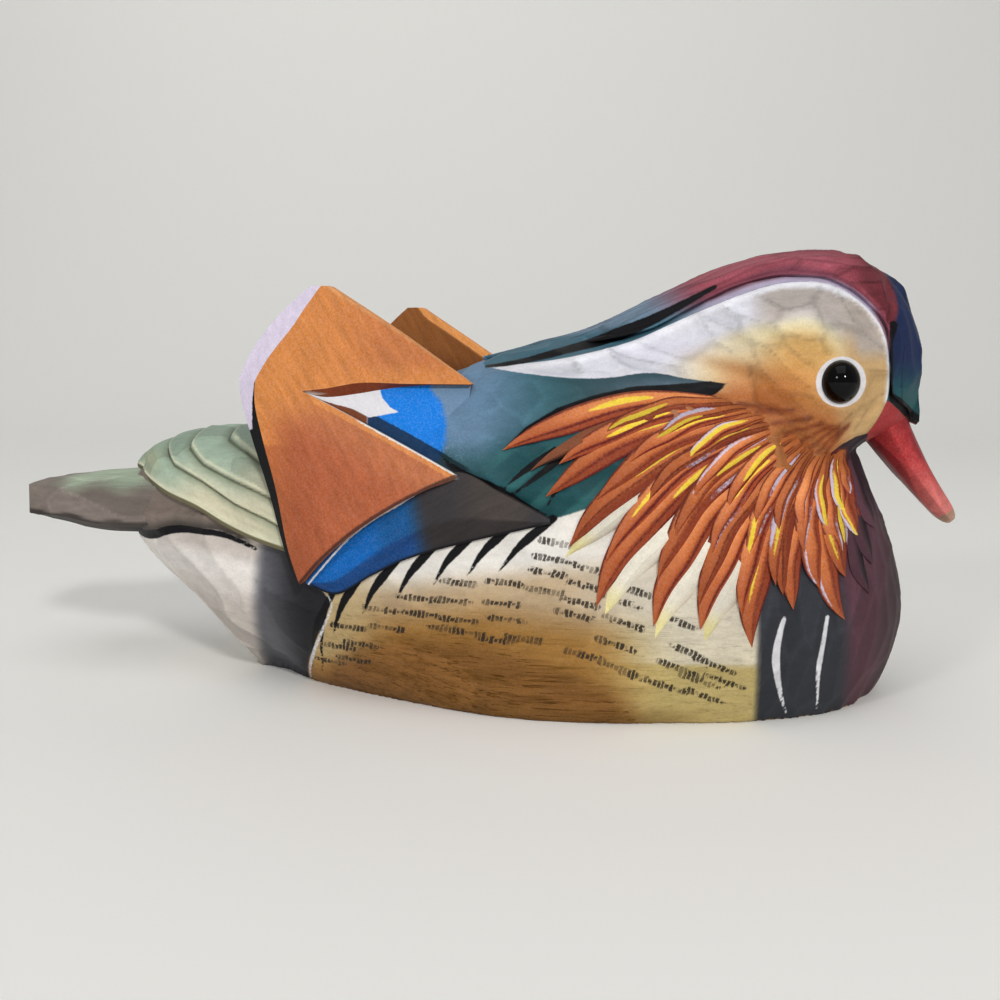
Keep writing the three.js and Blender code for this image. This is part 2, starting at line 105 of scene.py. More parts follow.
@dataclass(frozen=True)
class Palette:
    """The carver's paints and the painted light and shade, as the eye sees them, from 0 to 255."""

    white: Tint = (224, 223, 228)
    brow: Tint = (208, 208, 217)
    cream: Tint = (216, 204, 164)
    sand: Tint = (214, 172, 106)
    cheek: Tint = (196, 122, 62)
    ruff_root: Tint = (158, 88, 46)
    rust: Tint = (186, 96, 50)
    ruff_lit: Tint = (228, 150, 96)
    ruff_shade: Tint = (120, 46, 34)
    ruff_tip: Tint = (150, 72, 44)
    blood: Tint = (84, 20, 26)
    yellow: Tint = (232, 204, 66)
    lavender: Tint = (204, 198, 220)
    pale_feather: Tint = (232, 226, 210)
    maroon: Tint = (146, 68, 80)
    maroon_deep: Tint = (116, 58, 72)
    plum: Tint = (152, 120, 136)
    navy: Tint = (28, 40, 74)
    navy_low: Tint = (34, 80, 84)
    teal: Tint = (48, 88, 96)
    teal_deep: Tint = (20, 66, 70)
    slate: Tint = (106, 136, 166)
    ink: Tint = (14, 14, 18)
    blue: Tint = (20, 124, 222)
    blue_sill_shade: Tint = (18, 52, 88)
    charcoal: Tint = (96, 96, 102)
    sail: Tint = (205, 130, 72)
    sail_low: Tint = (170, 92, 60)
    sail_rear: Tint = (208, 136, 76)
    sail_edge_highlight: Tint = (226, 150, 84)
    sail_inner: Tint = (214, 134, 70)
    rim: Tint = (216, 206, 226)
    gold: Tint = (164, 120, 62)
    brown: Tint = (132, 90, 46)
    khaki: Tint = (194, 174, 116)
    flank_pale: Tint = (208, 201, 190)
    breast: Tint = (84, 54, 64)
    breast_front_shade: Tint = (62, 46, 50)
    rump: Tint = (218, 213, 208)
    rump_shade: Tint = (190, 180, 172)
    covert: Tint = (152, 171, 153)
    covert_low: Tint = (200, 194, 168)
    covert_lip_shade: Tint = (104, 98, 72)
    tail: Tint = (120, 110, 104)
    tail_green: Tint = (170, 187, 162)
    under_tail_shadow: Tint = (70, 64, 60)
    bill: Tint = (168, 56, 58)
    bill_tip: Tint = (218, 132, 124)
    nail: Tint = (176, 138, 118)
    bare_wood: Tint = (184, 146, 98)
    nape_shade: Tint = (44, 66, 72)
    shoulder_mist: Tint = (92, 108, 124)
    teal_lit: Tint = (58, 112, 112)
    back: Tint = (72, 88, 84)
    rump_shade_under_tail: Tint = (172, 160, 152)
    under_tail_shade: Tint = (122, 110, 102)
    flank_white: Tint = (232, 229, 224)
    flank_panel: Tint = (216, 208, 190)
    straw: Tint = (200, 178, 132)
    umber: Tint = (104, 74, 36)
    breast_black: Tint = (50, 52, 58)
    throat: Tint = (44, 30, 40)
    brow_rim: Tint = (228, 228, 235)
    lore: Tint = (194, 160, 112)
    brow_shade_under_crest: Tint = (176, 166, 160)
    brow_lilac: Tint = (196, 194, 208)
    cheek_deep: Tint = (150, 92, 46)
    feather_line: Tint = (112, 54, 30)
    crest_pink: Tint = (172, 104, 116)
    crest_front: Tint = (104, 42, 50)
    crest_lilac: Tint = (186, 180, 206)
    nape: Tint = (66, 104, 120)
    nape_mist: Tint = (122, 142, 164)
    ruff_bed: Tint = (134, 62, 40)
    tick: Tint = (52, 45, 38)
    slate_dots: Tint = (124, 142, 168)
    sill_shade: Tint = (30, 52, 58)
    bill_deep: Tint = (126, 34, 42)
    bill_pale: Tint = (196, 178, 176)
    tail_end: Tint = (146, 136, 124)
    tail_underside_shade: Tint = (54, 49, 46)
    covert_front: Tint = (168, 170, 148)
    covert_rear: Tint = (206, 202, 158)
    lap_shade: Tint = (112, 122, 102)
    lap_shadow_line: Tint = (70, 72, 56)
    lap_lit: Tint = (214, 212, 184)
    covert_rim_highlight: Tint = (212, 210, 184)
    sail_top: Tint = (178, 104, 66)
    sail_middle: Tint = (186, 112, 74)
    sail_foot: Tint = (146, 74, 46)
    sail_top_highlight: Tint = (214, 160, 110)
    sail_inner_low: Tint = (150, 88, 46)
    sill_highlight_line: Tint = (224, 220, 214)
    foot_shadow_line: Tint = (52, 32, 32)
    wedge_brown: Tint = (118, 66, 40)
    wedge_edge_highlight: Tint = (206, 198, 190)
    lip_underside_shade: Tint = (122, 58, 34)
    inner_line: Tint = (70, 38, 22)
    band: Tint = (24, 84, 142)
    band_low: Tint = (24, 66, 122)
    band_rear: Tint = (14, 104, 190)
    band_grey: Tint = (54, 51, 54)
    band_front: Tint = (68, 61, 57)
    band_grey_low: Tint = (46, 42, 42)
    band_line: Tint = (232, 236, 242)
    pale_tip: Tint = (240, 228, 150)
    pale_shade: Tint = (170, 152, 130)
    dark_feather: Tint = (128, 76, 52)
    bead: Tint = (3, 3, 4)
    bead_smear: Tint = (6, 6, 8)
    sweep: Tint = (249, 248, 244)


PAINT = Palette()


def linear(tint: Tint) -> Array:
    """A paint as the linear colour that shaders and attributes hold."""
    share = np.asarray(tint, float) / 255
    return np.where(share <= 0.04045, share / 12.92, ((share + 0.055) / 1.055) ** 2.4)


def rgba(tint: Tint) -> tuple[float, float, float, float]:
    """A paint as a shader socket's colour."""
    red, green, blue = linear(tint)
    return (float(red), float(green), float(blue), 1.0)


def smoothstep(low: float, high: float, value: Array) -> Array:
    """A soft step from 0 at low to 1 at high."""
    share = np.clip((np.asarray(value, float) - low) / (high - low), 0, 1)
    return share * share * (3 - 2 * share)


def fade(low: float, high: float, value: Array) -> Array:
    """A soft step from 1 at low to 0 at high."""
    return 1 - smoothstep(low, high, value)


def soft_line(value: Array, middle: float, reach: float) -> Array:
    """A soft line: 1 where the value is at its middle, and faint a reach away."""
    return np.exp(-(((value - middle) / reach) ** 2))


def spot(x: Array, z: Array, middle: Point, reach: Point) -> Array:
    """A soft round spot, 1 in its middle."""
    return soft_line(x, middle[0], reach[0]) * soft_line(z, middle[1], reach[1])


def wash(under: Array, over: Tint | Array, share: Array) -> Array:
    """Lays one paint over another.

    Args:
        under: A colour for each point, as the eye sees it.
        over: The paint laid on, one colour or one for each point.
        share: How thick it is at each point, from 0 to 1.

    Returns:
        The mixed colours.
    """
    share = np.clip(share, 0, 1)[:, None]
    return under * (1 - share) + np.asarray(over, float) * share


@dataclass(frozen=True)
class Profile:
    """A smooth curve through a few points, without overshoot between them."""

    points: tuple[Point, ...]

    def __call__(self, at: Array | float) -> Array:
        """The curve's value at each place.

        Args:
            at: Places along the curve. Beyond an end the curve keeps its last value.

        Returns:
            The values there.
        """
        x, y = np.array(self.points, float).T
        slopes = np.diff(y) / np.diff(x)
        product = slopes[:-1] * slopes[1:]
        total = slopes[:-1] + slopes[1:]
        safe = np.where(product > 0, total, 1)
        inner = np.where(product > 0, 2 * product / safe, 0)
        tangents = np.concatenate([slopes[:1], inner, slopes[-1:]])
        place = np.clip(np.asarray(at, float), x[0], x[-1])
        i = np.clip(np.searchsorted(x, place, side="right") - 1, 0, len(x) - 2)
        run = x[i + 1] - x[i]
        t = (place - x[i]) / run
        hermite = (1 + 2 * t) * (1 - t) ** 2 * y[i] + t * t * (3 - 2 * t) * y[i + 1]
        lean = t * (1 - t) ** 2 * tangents[i] + t * t * (t - 1) * tangents[i + 1]
        return hermite + run * lean


def rounded_off(share: Array, squareness: Array | float) -> Array:
    """How far out one quarter of a rounded section is, at a share of its height."""
    held = np.clip(share, 0, 1)
    return np.clip(1 - held**squareness, 0, 1) ** (1 / squareness)


def quarter(steps: int, squareness: float) -> Array:
    """Evenly spaced points of a rounded quarter, from its widest point to its top."""
    angle = math.pi / 4 * (1 - np.cos(np.linspace(0, math.pi, 3000)))
    across = np.clip(np.cos(angle), 0, 1) ** (2 / squareness)
    dense = np.stack([across, np.sin(angle) ** (2 / squareness)], axis=1)
    run = np.concatenate([[0], np.cumsum(np.linalg.norm(np.diff(dense, axis=0), axis=1))])
    even = np.linspace(0, run[-1], steps + 1)
    return np.stack([np.interp(even, run, dense[:, 0]), np.interp(even, run, dense[:, 1])], axis=1)


def through(points: Sequence[Point], step: float = 0.5) -> Array:
    """A smooth line drawn through a few points.

    Args:
        points: The points that the brush passes.
        step: The length of each short stretch.

    Returns:
        Close points along the line.
    """
    knots = np.array(points, float)
    before = np.vstack([2 * knots[0] - knots[1], knots[:-2], knots[-2:-1]])[: len(knots) - 1]
    after = np.vstack([knots[2:], 2 * knots[-1] - knots[-2]])
    parts = []
    for a, b, c, d in zip(before, knots[:-1], knots[1:], after):
        count = max(2, int(np.linalg.norm(c - b) / step))
        t = np.linspace(0, 1, count, endpoint=False)[:, None]
        bend = (2 * a - 5 * b + 4 * c - d) * t**2 + (3 * b - a - 3 * c + d) * t**3
        parts.append(0.5 * (2 * b + (c - a) * t + bend))
    return np.vstack([*parts, knots[-1:]])


def distance_to(line: Array, at: Array) -> Array:
    """The distance from each place to a line of short stretches."""
    nearest = np.full(len(at), 1e9)
    for a, b in zip(line[:-1], line[1:]):
        run = b - a
        t = np.clip((at - a) @ run / max(run @ run, 1e-12), 0, 1)
        gap = at - a - t[:, None] * run
        nearest = np.minimum(nearest, np.einsum("ij,ij->i", gap, gap))
    return np.sqrt(nearest)


def depth_inside(outline: Array, at: Array) -> Array:
    """How deep each place lies inside a closed outline, less than 0 outside it."""
    closed = np.vstack([outline, outline[:1]])
    inside = np.zeros(len(at), bool)
    x, z = at.T
    for (x0, z0), (x1, z1) in zip(closed[:-1], closed[1:]):
        crosses = (z0 > z) != (z1 > z)
        rise = z1 - z0 if z1 != z0 else 1e-9
        inside ^= crosses & (x < (x1 - x0) * (z - z0) / rise + x0)
    reach = distance_to(closed, at)
    return np.where(inside, reach, -reach)


@dataclass(frozen=True)
class Stroke:
    """One stroke of a loaded brush: it swells and runs out to a point.

    The widths are half widths at the start, at the fullest place and at the end.
    """

    points: tuple[Point, ...]
    start: float
    full: float
    end: float
    fullest_at: float = 0.35

    def depth(self, at: Array) -> Array:
        """How deep each place lies inside the stroke, less than 0 outside it."""
        line = through(self.points, 0.6)
        run = np.concatenate([[0], np.cumsum(np.linalg.norm(np.diff(line, axis=0), axis=1))])
        share = run / run[-1]
        half = np.interp(share, [0, self.fullest_at, 1], [self.start, self.full, self.end])
        deepest = np.full(len(at), -1e3)
        for i in range(len(line) - 1):
            a, b = line[i], line[i + 1]
            t = np.clip((at - a) @ (b - a) / max((b - a) @ (b - a), 1e-12), 0, 1)
            gap = np.linalg.norm(at - a - t[:, None] * (b - a), axis=1)
            deepest = np.maximum(deepest, half[i] + (half[i + 1] - half[i]) * t - gap)
        return deepest


@dataclass(frozen=True)
class DuckForm:
    """The duck's main form: trunk, head and crest, from profiles along its length."""

    trunk_rear: float = -54
    trunk_front: float = 67.2
    trunk_top: Profile = Profile((
        (-55, 28), (-52, 32.6), (-50, 34.4), (-42, 36.6), (-30, 37.8), (-18, 39.6), (-8, 43), (0, 48.2),
        (12, 52.2), (24, 54), (36, 53), (46, 48.5), (54, 42), (60, 36), (62.4, 30.5),
        (65.2, 23.5), (66.6, 19), (67.2, 15),
    ))
    trunk_keel: Profile = Profile((
        (-54, 22.6), (-51, 18.4), (-47, 13.8), (-43, 9.6), (-39.4, 5.7), (-36, 2), (-33.5, 0),
        (62.5, 0), (64.5, 1.6), (65.8, 4.2), (67.2, 11),
    ))
    base_half: Profile = Profile((
        (-55, 0.4), (-33.5, 0.6), (-24, 7), (-13.3, 13.5), (1.7, 20), (10.6, 22.6), (17, 23.4),
        (24, 23), (35, 21.2), (45, 18.8), (54.5, 14.2), (58.5, 10.4), (61, 6.8), (62.5, 3.2),
        (67.2, 0.4),
    ))
    widest_half: Profile = Profile((
        (-54, 8), (-48, 11.6), (-40, 14.6), (-28, 18.6), (-14, 21.6), (0, 23.8), (12, 24.8),
        (24, 25), (35, 24.2), (45, 22.6), (54.5, 18.8), (60, 14.6), (64, 9.9), (66.4, 5.4),
        (67.2, 2.2),
    ))
    widest_z: Profile = Profile((
        (-55, 27), (-44, 24), (-28, 18), (-10, 14.5), (10, 13.5), (67.2, 13),
    ))
    squareness: Profile = Profile((
        (-55, 2.2), (-24, 2.6), (-4, 3.1), (10, 3.1), (26, 2.5), (67.2, 2.1),
    ))
    head_rear: float = 2
    head_front: float = 68.4
    crest_top: Profile = Profile((
        (-3, 48.8), (3.3, 51.1), (12.4, 53.4), (18.7, 54.9), (27.8, 58.8), (36.2, 62.8),
        (41.3, 64.6), (46.2, 65.8), (52.8, 66.4), (57.8, 65.7), (61.1, 64.3), (64, 62.5),
        (66.1, 60.2), (67.6, 57.4), (68.6, 53),
    ))
    head_bottom: Profile = Profile((
        (2, 44), (20, 40), (34, 34), (50, 32.5), (57, 34.8), (60, 37.4), (64, 39.4),
        (68.4, 41.6),
    ))
    head_half_width: Profile = Profile((
        (2, 2.4), (12, 7.4), (20, 10), (28, 12), (38, 13.8), (48, 14.4), (55.7, 13.7),
        (61, 11.6), (64.5, 9), (67, 5.8), (68.4, 3),
    ))
    cheek_z: Profile = Profile(((2, 47), (20, 46.4), (50, 45.6), (62, 46.4), (68.4, 47.5)))
    head_squareness: float = 2.35
    crest_rear: float = 4
    crest_edge_z: Profile = Profile((
        (4, 50.3), (12, 51.6), (20, 52.4), (29, 54.2), (36.5, 58), (42, 60.5), (48, 61.8),
        (53, 61.5), (57, 59.8), (60, 57.2), (62.1, 54.4), (62.7, 50), (63.1, 45.3), (64, 44.4),
        (65.8, 43.2), (67.3, 41.6), (68.6, 41),
    ))
    crest_step: float = 0.65
    valley_fill: float = 7

    def trunk_half(self, x: Array, z: Array) -> Array:
        """How far out the trunk's side is at places along it and heights."""
        widest, middle = self.widest_half(x), self.widest_z(x)
        rise = (z - middle) / np.maximum(self.trunk_top(x) - middle, 1e-6)
        above = widest * rounded_off(rise, self.squareness(x))
        share = np.clip((z - self.trunk_keel(x)) / (middle - self.trunk_keel(x)), 0, 1)
        below = self.base_half(x) + (widest - self.base_half(x)) * (1 - (1 - share) ** 2)
        return np.where(z >= middle, above, below)

    def head_top(self, x: Array) -> Array:
        """The top of the head under the crest."""
        return self.crest_top(x) - 1.1

    def head_half(self, x: Array, z: Array) -> Array:
        """How far out the head's side is, 0 where there is no head."""
        cheek = self.cheek_z(x)
        reach = np.where(z > cheek, self.head_top(x) - cheek, cheek - self.head_bottom(x))
        half = self.head_half_width(x) * rounded_off(np.abs(z - cheek) / reach, self.head_squareness)
        return np.where((x >= self.head_rear) & (x <= self.head_front), half, 0)

    def side_half(self, x: Array, z: Array) -> Array:
        """The side of head and trunk together, with the valley between them filled."""
        fill = self.valley_fill
        return (self.trunk_half(x, z) ** fill + self.head_half(x, z) ** fill) ** (1 / fill)

    def trunk_rings(self, stations: int, belly: int, back: int) -> Array:
        """The trunk as a row of closed rings from the rump to the breast."""
        rings = []
        for x in ends_closer(self.trunk_rear, self.trunk_front, stations):
            keel, middle = float(self.trunk_keel(x)), float(self.widest_z(x))
            low_z = keel + (middle - keel) * np.linspace(0, 1, belly + 1)[:-1]
            low = np.stack([self.trunk_half(np.full(belly, x), low_z), low_z], axis=1)
            under = np.stack([np.linspace(0, low[0, 0], 12)[:-1], np.full(11, keel)], axis=1)
            arc = quarter(back, float(self.squareness(x)))
            top = float(self.trunk_top(x))
            half = float(self.widest_half(x))
            high = np.stack([half * arc[:, 0], middle + (top - middle) * arc[:, 1]], axis=1)
            rings.append(mirrored_ring(x, np.vstack([under, low, high])))
        return np.array(rings)

    def head_rings(self, stations: int, steps: int) -> Array:
        """The head as a row of closed rings from the nape to the forehead."""
        rings = []
        arc = quarter(steps, self.head_squareness)
        for x in ends_closer(self.head_rear, self.head_front, stations):
            half, cheek = float(self.head_half_width(x)), float(self.cheek_z(x))
            top, bottom = float(self.head_top(x)), float(self.head_bottom(x))
            lower = arc[::-1][:-1]
            low = np.stack([half * lower[:, 0], cheek - (cheek - bottom) * lower[:, 1]], axis=1)
            high = np.stack([half * arc[:, 0], cheek + (top - cheek) * arc[:, 1]], axis=1)
            rings.append(mirrored_ring(x, np.vstack([low, high])))
        return np.array(rings)


def ends_closer(start: float, stop: float, count: int) -> Array:
    """Stations from one end to the other, closer together towards both ends."""
    angle = np.linspace(0, math.pi, count)
    return start + (stop - start) * (0.55 * angle / math.pi + 0.45 * (1 - np.cos(angle)) / 2)


def mirrored_ring(x: float, half: Array) -> Array:
    """Closes a half section, from the bottom middle to the top middle, into a ring."""
    left = np.stack([np.full(len(half), x), -half[:, 0], half[:, 1]], axis=1)
    right = left[1:-1][::-1] * (1, -1, 1)
    return np.vstack([left, right])


def triples(items: bpy.types.bpy_prop_collection, key: str) -> Array:
    """Three numbers from each vertex or face of a mesh."""
    flat = np.zeros(len(items) * 3)
    items.foreach_get(key, flat)
    return flat.reshape(-1, 3)


@dataclass(frozen=True)
class Bench:
    """The carver's bench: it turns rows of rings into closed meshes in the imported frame."""

    ahead: float

    def to_frame(self, points: Array) -> Array:
        """Points of the carver's frame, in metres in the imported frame."""
        return (points + (self.ahead, 0, 0)) * MM

    def to_carving(self, points: Array) -> Array:
        """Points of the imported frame, in millimetres in the carver's frame."""
        return points / MM - (self.ahead, 0, 0)

    def points_of(self, piece: Piece) -> Array:
        """A piece's vertices in the carver's frame."""
        return self.to_carving(triples(piece.data.vertices, "co"))

    def move_points(self, piece: Piece, points: Array) -> None:
        """Puts a piece's vertices at places given in the carver's frame."""
        piece.data.vertices.foreach_set("co", self.to_frame(points).ravel())
        piece.data.update()

    def normals_of(self, piece: Piece) -> Array:
        """The outward direction at each of a piece's vertices."""
        return triples(piece.data.vertices, "normal")

    def rolled(self, name: str, rings: Array, marks: dict[str, Array] | None = None) -> Piece:
        """Rolls a grid into a tube of rings and closes both its ends.

        Args:
            name: The piece's name.
            rings: Rows of points in the carver's frame, each ring closed on itself.
            marks: Values for each point of the rings, kept as attributes.

        Returns:
            The closed mesh, with its faces outward.
        """
        rows, around = rings.shape[:2]
        deselect_all()
        bpy.ops.mesh.primitive_grid_add(x_subdivisions=around, y_subdivisions=rows - 1, size=1)
        piece = bpy.context.object
        piece.name = piece.data.name = name
        rolled = np.concatenate([rings, rings[:, :1]], axis=1).reshape(-1, 3)
        self.move_points(piece, rolled)
        for mark, values in (marks or {}).items():
            layer = piece.data.attributes.new(mark, "FLOAT", "POINT")
            layer.data.foreach_set("value", np.concatenate([values, values[:, :1]], axis=1).ravel())
        bpy.ops.object.mode_set(mode="EDIT")
        bpy.ops.mesh.select_all(action="SELECT")
        bpy.ops.mesh.remove_doubles(threshold=1e-7)
        bpy.ops.mesh.fill_holes(sides=0)
        bpy.ops.mesh.select_all(action="SELECT")
        bpy.ops.mesh.normals_make_consistent(inside=False)
        bpy.ops.object.mode_set(mode="OBJECT")
        return piece


def deselect_all() -> None:
    """Leaves nothing selected."""
    bpy.ops.object.select_all(action="DESELECT")


def select_only(*pieces: Piece) -> None:
    """Selects these pieces, and makes the first one active."""
    deselect_all()
    for piece in pieces:
        piece.select_set(True)
    bpy.context.view_layer.objects.active = pieces[0]


def joined(name: str, pieces: Sequence[Piece]) -> Piece:
    """Joins pieces into the first of them, under a new name."""
    select_only(*pieces)
    if len(pieces) > 1:
        bpy.ops.object.join()
    piece = bpy.context.object
    piece.name = piece.data.name = name
    return piece


def finish_with(piece: Piece, kind: str, **settings: object) -> None:
    """Adds a modifier to a piece and applies it.

    Args:
        piece: The piece to finish.
        kind: The modifier's type.
        settings: The modifier's values.
    """
    modifier = piece.modifiers.new(kind.title(), kind)
    for name, value in settings.items():
        setattr(modifier, name, value)
    select_only(piece)
    bpy.ops.object.modifier_apply(modifier=modifier.name)


def smooth_shaded(piece: Piece, angle: float | None = None) -> None:
    """Shades a piece smooth, all over or only where its faces meet at less than an angle."""
    select_only(piece)
    if angle is None:
        bpy.ops.object.shade_smooth()
    else:
        bpy.ops.object.shade_smooth_by_angle(angle=math.radians(angle))


def dressed(piece: Piece, finish: Material, angle: float | None = None) -> Piece:
    """Gives a piece its one paint and its shading."""
    piece.data.materials.clear()
    piece.data.materials.append(finish)
    smooth_shaded(piece, angle)
    return piece


def set_mark(piece: Piece, name: str, values: Array) -> None:
    """Stores one number for each vertex."""
    layer = piece.data.attributes.get(name) or piece.data.attributes.new(name, "FLOAT", "POINT")
    layer.data.foreach_set("value", np.asarray(values, np.float32))


def mark_of(piece: Piece, name: str) -> Array:
    """The stored numbers of a piece's vertices."""
    values = np.zeros(len(piece.data.vertices), np.float32)
    piece.data.attributes[name].data.foreach_get("value", values)
    return values.astype(float)


def set_paint(piece: Piece, name: str, tints: Array) -> None:
    """Stores one colour for each vertex, given as the eye sees it."""
    layer = piece.data.attributes.new(name, "FLOAT_COLOR", "POINT")
    colours = np.ones((len(tints), 4), np.float32)
    colours[:, :3] = linear(tints)
    layer.data.foreach_set("color", colours.ravel())


@dataclass(frozen=True)
class Cuts:
    """A field of knife cuts: shallow scoops that meet in soft ridges.

    Length and width are a cut's half sizes, and depth is how far its middle sinks.
    """

    along: Vec3
    length: float
    width: float
    depth: float
    waver: float = 0.5

    def laid(self, points: Array, share: Array, rng: Rng) -> tuple[Array, Array, Array]:
        """Where each point lies in its cut.

        Args:
            points: The surface, in the carver's frame.
            share: How much of this field each point takes, from 0 to 1.
            rng: The source of the cuts' places.

        Returns:
            For each point a number that is 0 in the middle of its cut and about 1 on the
            ridges, the distance to the nearest ridge, and a tone of its cut's own.
        """
        chosen = np.flatnonzero(share > 0.001)
        scoop, edge, tone = (np.full(len(points), value) for value in (0.4, 3.0, 0.5))
        if not len(chosen):
            return scoop, edge, tone
        stroke = np.array(self.along, float)
        stroke /= np.linalg.norm(stroke)
        near = points[chosen]
        wave = np.stack([
            np.sin(near @ (0.31, 0.17, 0.23) + phase)
            + 0.6 * np.sin(near @ (0.13, 0.29, -0.37) + 2 * phase)
            for phase in rng.uniform(0, 6.28, 3)
        ], axis=1)
        near = near + wave * self.waver * self.width
        squeezed = near - np.outer(near @ stroke, stroke) * (1 - self.width / self.length)
        keys = np.unique(np.floor(squeezed / (1.75 * self.width)).astype(int), axis=0)
        count = max(3, int(len(keys) * 0.62))
        seeds = squeezed[rng.choice(len(squeezed), count, replace=False)]
        for _ in range(3):
            owner, _, _ = nearest_seeds(squeezed, seeds)
            crowd = np.bincount(owner, minlength=count)
            sums = np.stack([np.bincount(owner, squeezed[:, axis], count) for axis in range(3)], axis=1)
            seeds = np.where(crowd[:, None] > 0, sums / np.maximum(crowd, 1)[:, None], seeds)
        owner, gap, border = nearest_seeds(squeezed, seeds)
        scoop[chosen] = np.minimum((gap / self.width) ** 2, 1.6)
        edge[chosen] = border
        tone[chosen] = rng.uniform(0, 1, count)[owner]
        return scoop, edge, tone


def nearest_seeds(points: Array, seeds: Array) -> tuple[Array, Array, Array]:
    """Each point's seed, the distance to it, and the distance to the border of its cell."""
    owner, gap, border = np.empty(len(points), int), np.empty(len(points)), np.empty(len(points))
    small = seeds.astype(np.float32)
    square = (small**2).sum(1)
    for start in range(0, len(points), 20000):
        part = points[start : start + 20000].astype(np.float32)
        rows = slice(start, start + len(part))
        reach = square - 2 * part @ small.T
        pair = np.argpartition(reach, 1, axis=1)[:, :2]
        both = np.take_along_axis(reach, pair, 1)
        first = np.where(both[:, 0] <= both[:, 1], pair[:, 0], pair[:, 1])
        second = pair.sum(1) - first
        apart = np.linalg.norm(small[first] - small[second], axis=1)
        owner[rows] = first
        gap[rows] = np.linalg.norm(part - small[first], axis=1)
        border[rows] = np.abs(both[:, 0] - both[:, 1]) / np.maximum(2 * apart, 1e-6)
    return owner, gap, border


def set_cuts(
    piece: Piece, edge: Array | float = 3.0, tone: Array | float = 0.5, line: Array | float = 1.3
) -> None:
    """Stores where a piece's knife cuts meet, each cut's tone and how light its ridges are, partly as
    painted highlight and shade.
    """
    count = len(piece.data.vertices)
    for name, values in (("cut_edge", edge), ("cut_tone", tone), ("cut_line", line)):
        set_mark(piece, name, np.broadcast_to(values, count))


class Shader:
    """A small helper that adds nodes to a tree and links them."""

    def __init__(self, tree: bpy.types.NodeTree) -> None:
        """Starts with the tree to fill."""
        self.tree = tree

    def node(self, kind: str, **settings: object) -> bpy.types.Node:
        """Adds a node of a kind and sets its properties."""
        made = self.tree.nodes.new(kind)
        for name, value in settings.items():
            setattr(made, name, value)
        return made

    def feed(self, socket: Socket, value: object) -> None:
        """Links an output to a socket, or sets the socket's own value."""
        if isinstance(value, Socket):
            self.tree.links.new(value, socket)
        else:
            socket.default_value = value

    def math(self, operation: str, *values: object, clamp: bool = False) -> Socket:
        """The result of one sum on numbers."""
        made = self.node("ShaderNodeMath", operation=operation, use_clamp=clamp)
        for socket, value in zip(made.inputs, values):
            self.feed(socket, value)
        return made.outputs[0]

    def times(self, first: object, *others: object) -> Socket:
        """The product of numbers."""
        for other in others:
            first = self.math("MULTIPLY", first, other)
        return first

    def plus(self, first: object, second: object) -> Socket:
        """The sum of two numbers."""
        return self.math("ADD", first, second)

    def minus(self, first: object, second: object) -> Socket:
        """The difference of two numbers."""
        return self.math("SUBTRACT", first, second)

    def step(
        self, value: object, low: object, high: object, to_low: float = 0, to_high: float = 1
    ) -> Socket:
        """A soft step of a value from low to high."""
        made = self.node("ShaderNodeMapRange", interpolation_type="SMOOTHSTEP")
        for socket, number in zip(made.inputs, (value, low, high, to_low, to_high)):
            self.feed(socket, number)
        return made.outputs[0]

    def mix(self, share: object, under: object, over: object, blend: str = "MIX") -> Socket:
        """One colour laid over another by a share."""
        made = self.node("ShaderNodeMix", data_type="RGBA", blend_type=blend)
        self.feed(made.inputs["Factor"], share)
        self.feed(made.inputs[6], under)
        self.feed(made.inputs[7], over)
        return made.outputs[2]

    def mark(self, name: str) -> Socket:
        """A stored number of the piece."""
        return self.node("ShaderNodeAttribute", attribute_name=name).outputs["Fac"]

    def paint(self, name: str) -> Socket:
        """A stored colour of the piece."""
        return self.node("ShaderNodeAttribute", attribute_name=name).outputs["Color"]

    def place(self, scale: Vec3 = (1, 1, 1), turn: Vec3 = (0, 0, 0)) -> Socket:
        """The place on the piece in millimetres, squeezed and turned."""
        where = self.node("ShaderNodeTexCoord").outputs["Object"]
        mapping = self.node("ShaderNodeMapping", vector_type="TEXTURE")
        self.feed(mapping.inputs["Vector"], where)
        mapping.inputs["Rotation"].default_value = turn
        mapping.inputs["Scale"].default_value = tuple(MM / s for s in scale)
        return mapping.outputs[0]

    def noise(self, vector: object, scale: float, detail: float = 3, rough: float = 0.5) -> Socket:
        """Cloudy noise from 0 to 1."""
        made = self.node("ShaderNodeTexNoise")
        self.feed(made.inputs["Vector"], vector)
        made.inputs["Scale"].default_value = scale
        made.inputs["Detail"].default_value = detail
        made.inputs["Roughness"].default_value = rough
        return made.outputs["Fac"]

    def fuzz(self, scale: float, detail: float, rough: float, reach: float = 1.0) -> Socket:
        """Cloudy noise about 0, for edges painted by hand."""
        even = self.minus(self.noise(self.place(), scale, detail, rough), 0.5)
        return even if reach == 1.0 else self.times(even, reach)


def new_group(
    name: str, inputs: dict[str, str], outputs: dict[str, str]
) -> tuple[bpy.types.NodeTree, Shader, bpy.types.Node, bpy.types.Node]:
    """Starts a shader node group.

    Args:
        name: The group's name.
        inputs: Its inputs, from name to socket type.
        outputs: Its outputs, from name to socket type.

    Returns:
        The group, a helper for its nodes, its input node and its output node.
    """
    group = bpy.data.node_groups.new(name, "ShaderNodeTree")
    for label, kind in inputs.items():
        group.interface.new_socket(label, in_out="INPUT", socket_type=kind)
    for label, kind in outputs.items():
        group.interface.new_socket(label, in_out="OUTPUT", socket_type=kind)
    shader = Shader(group)
    return group, shader, shader.node("NodeGroupInput"), shader.node("NodeGroupOutput")


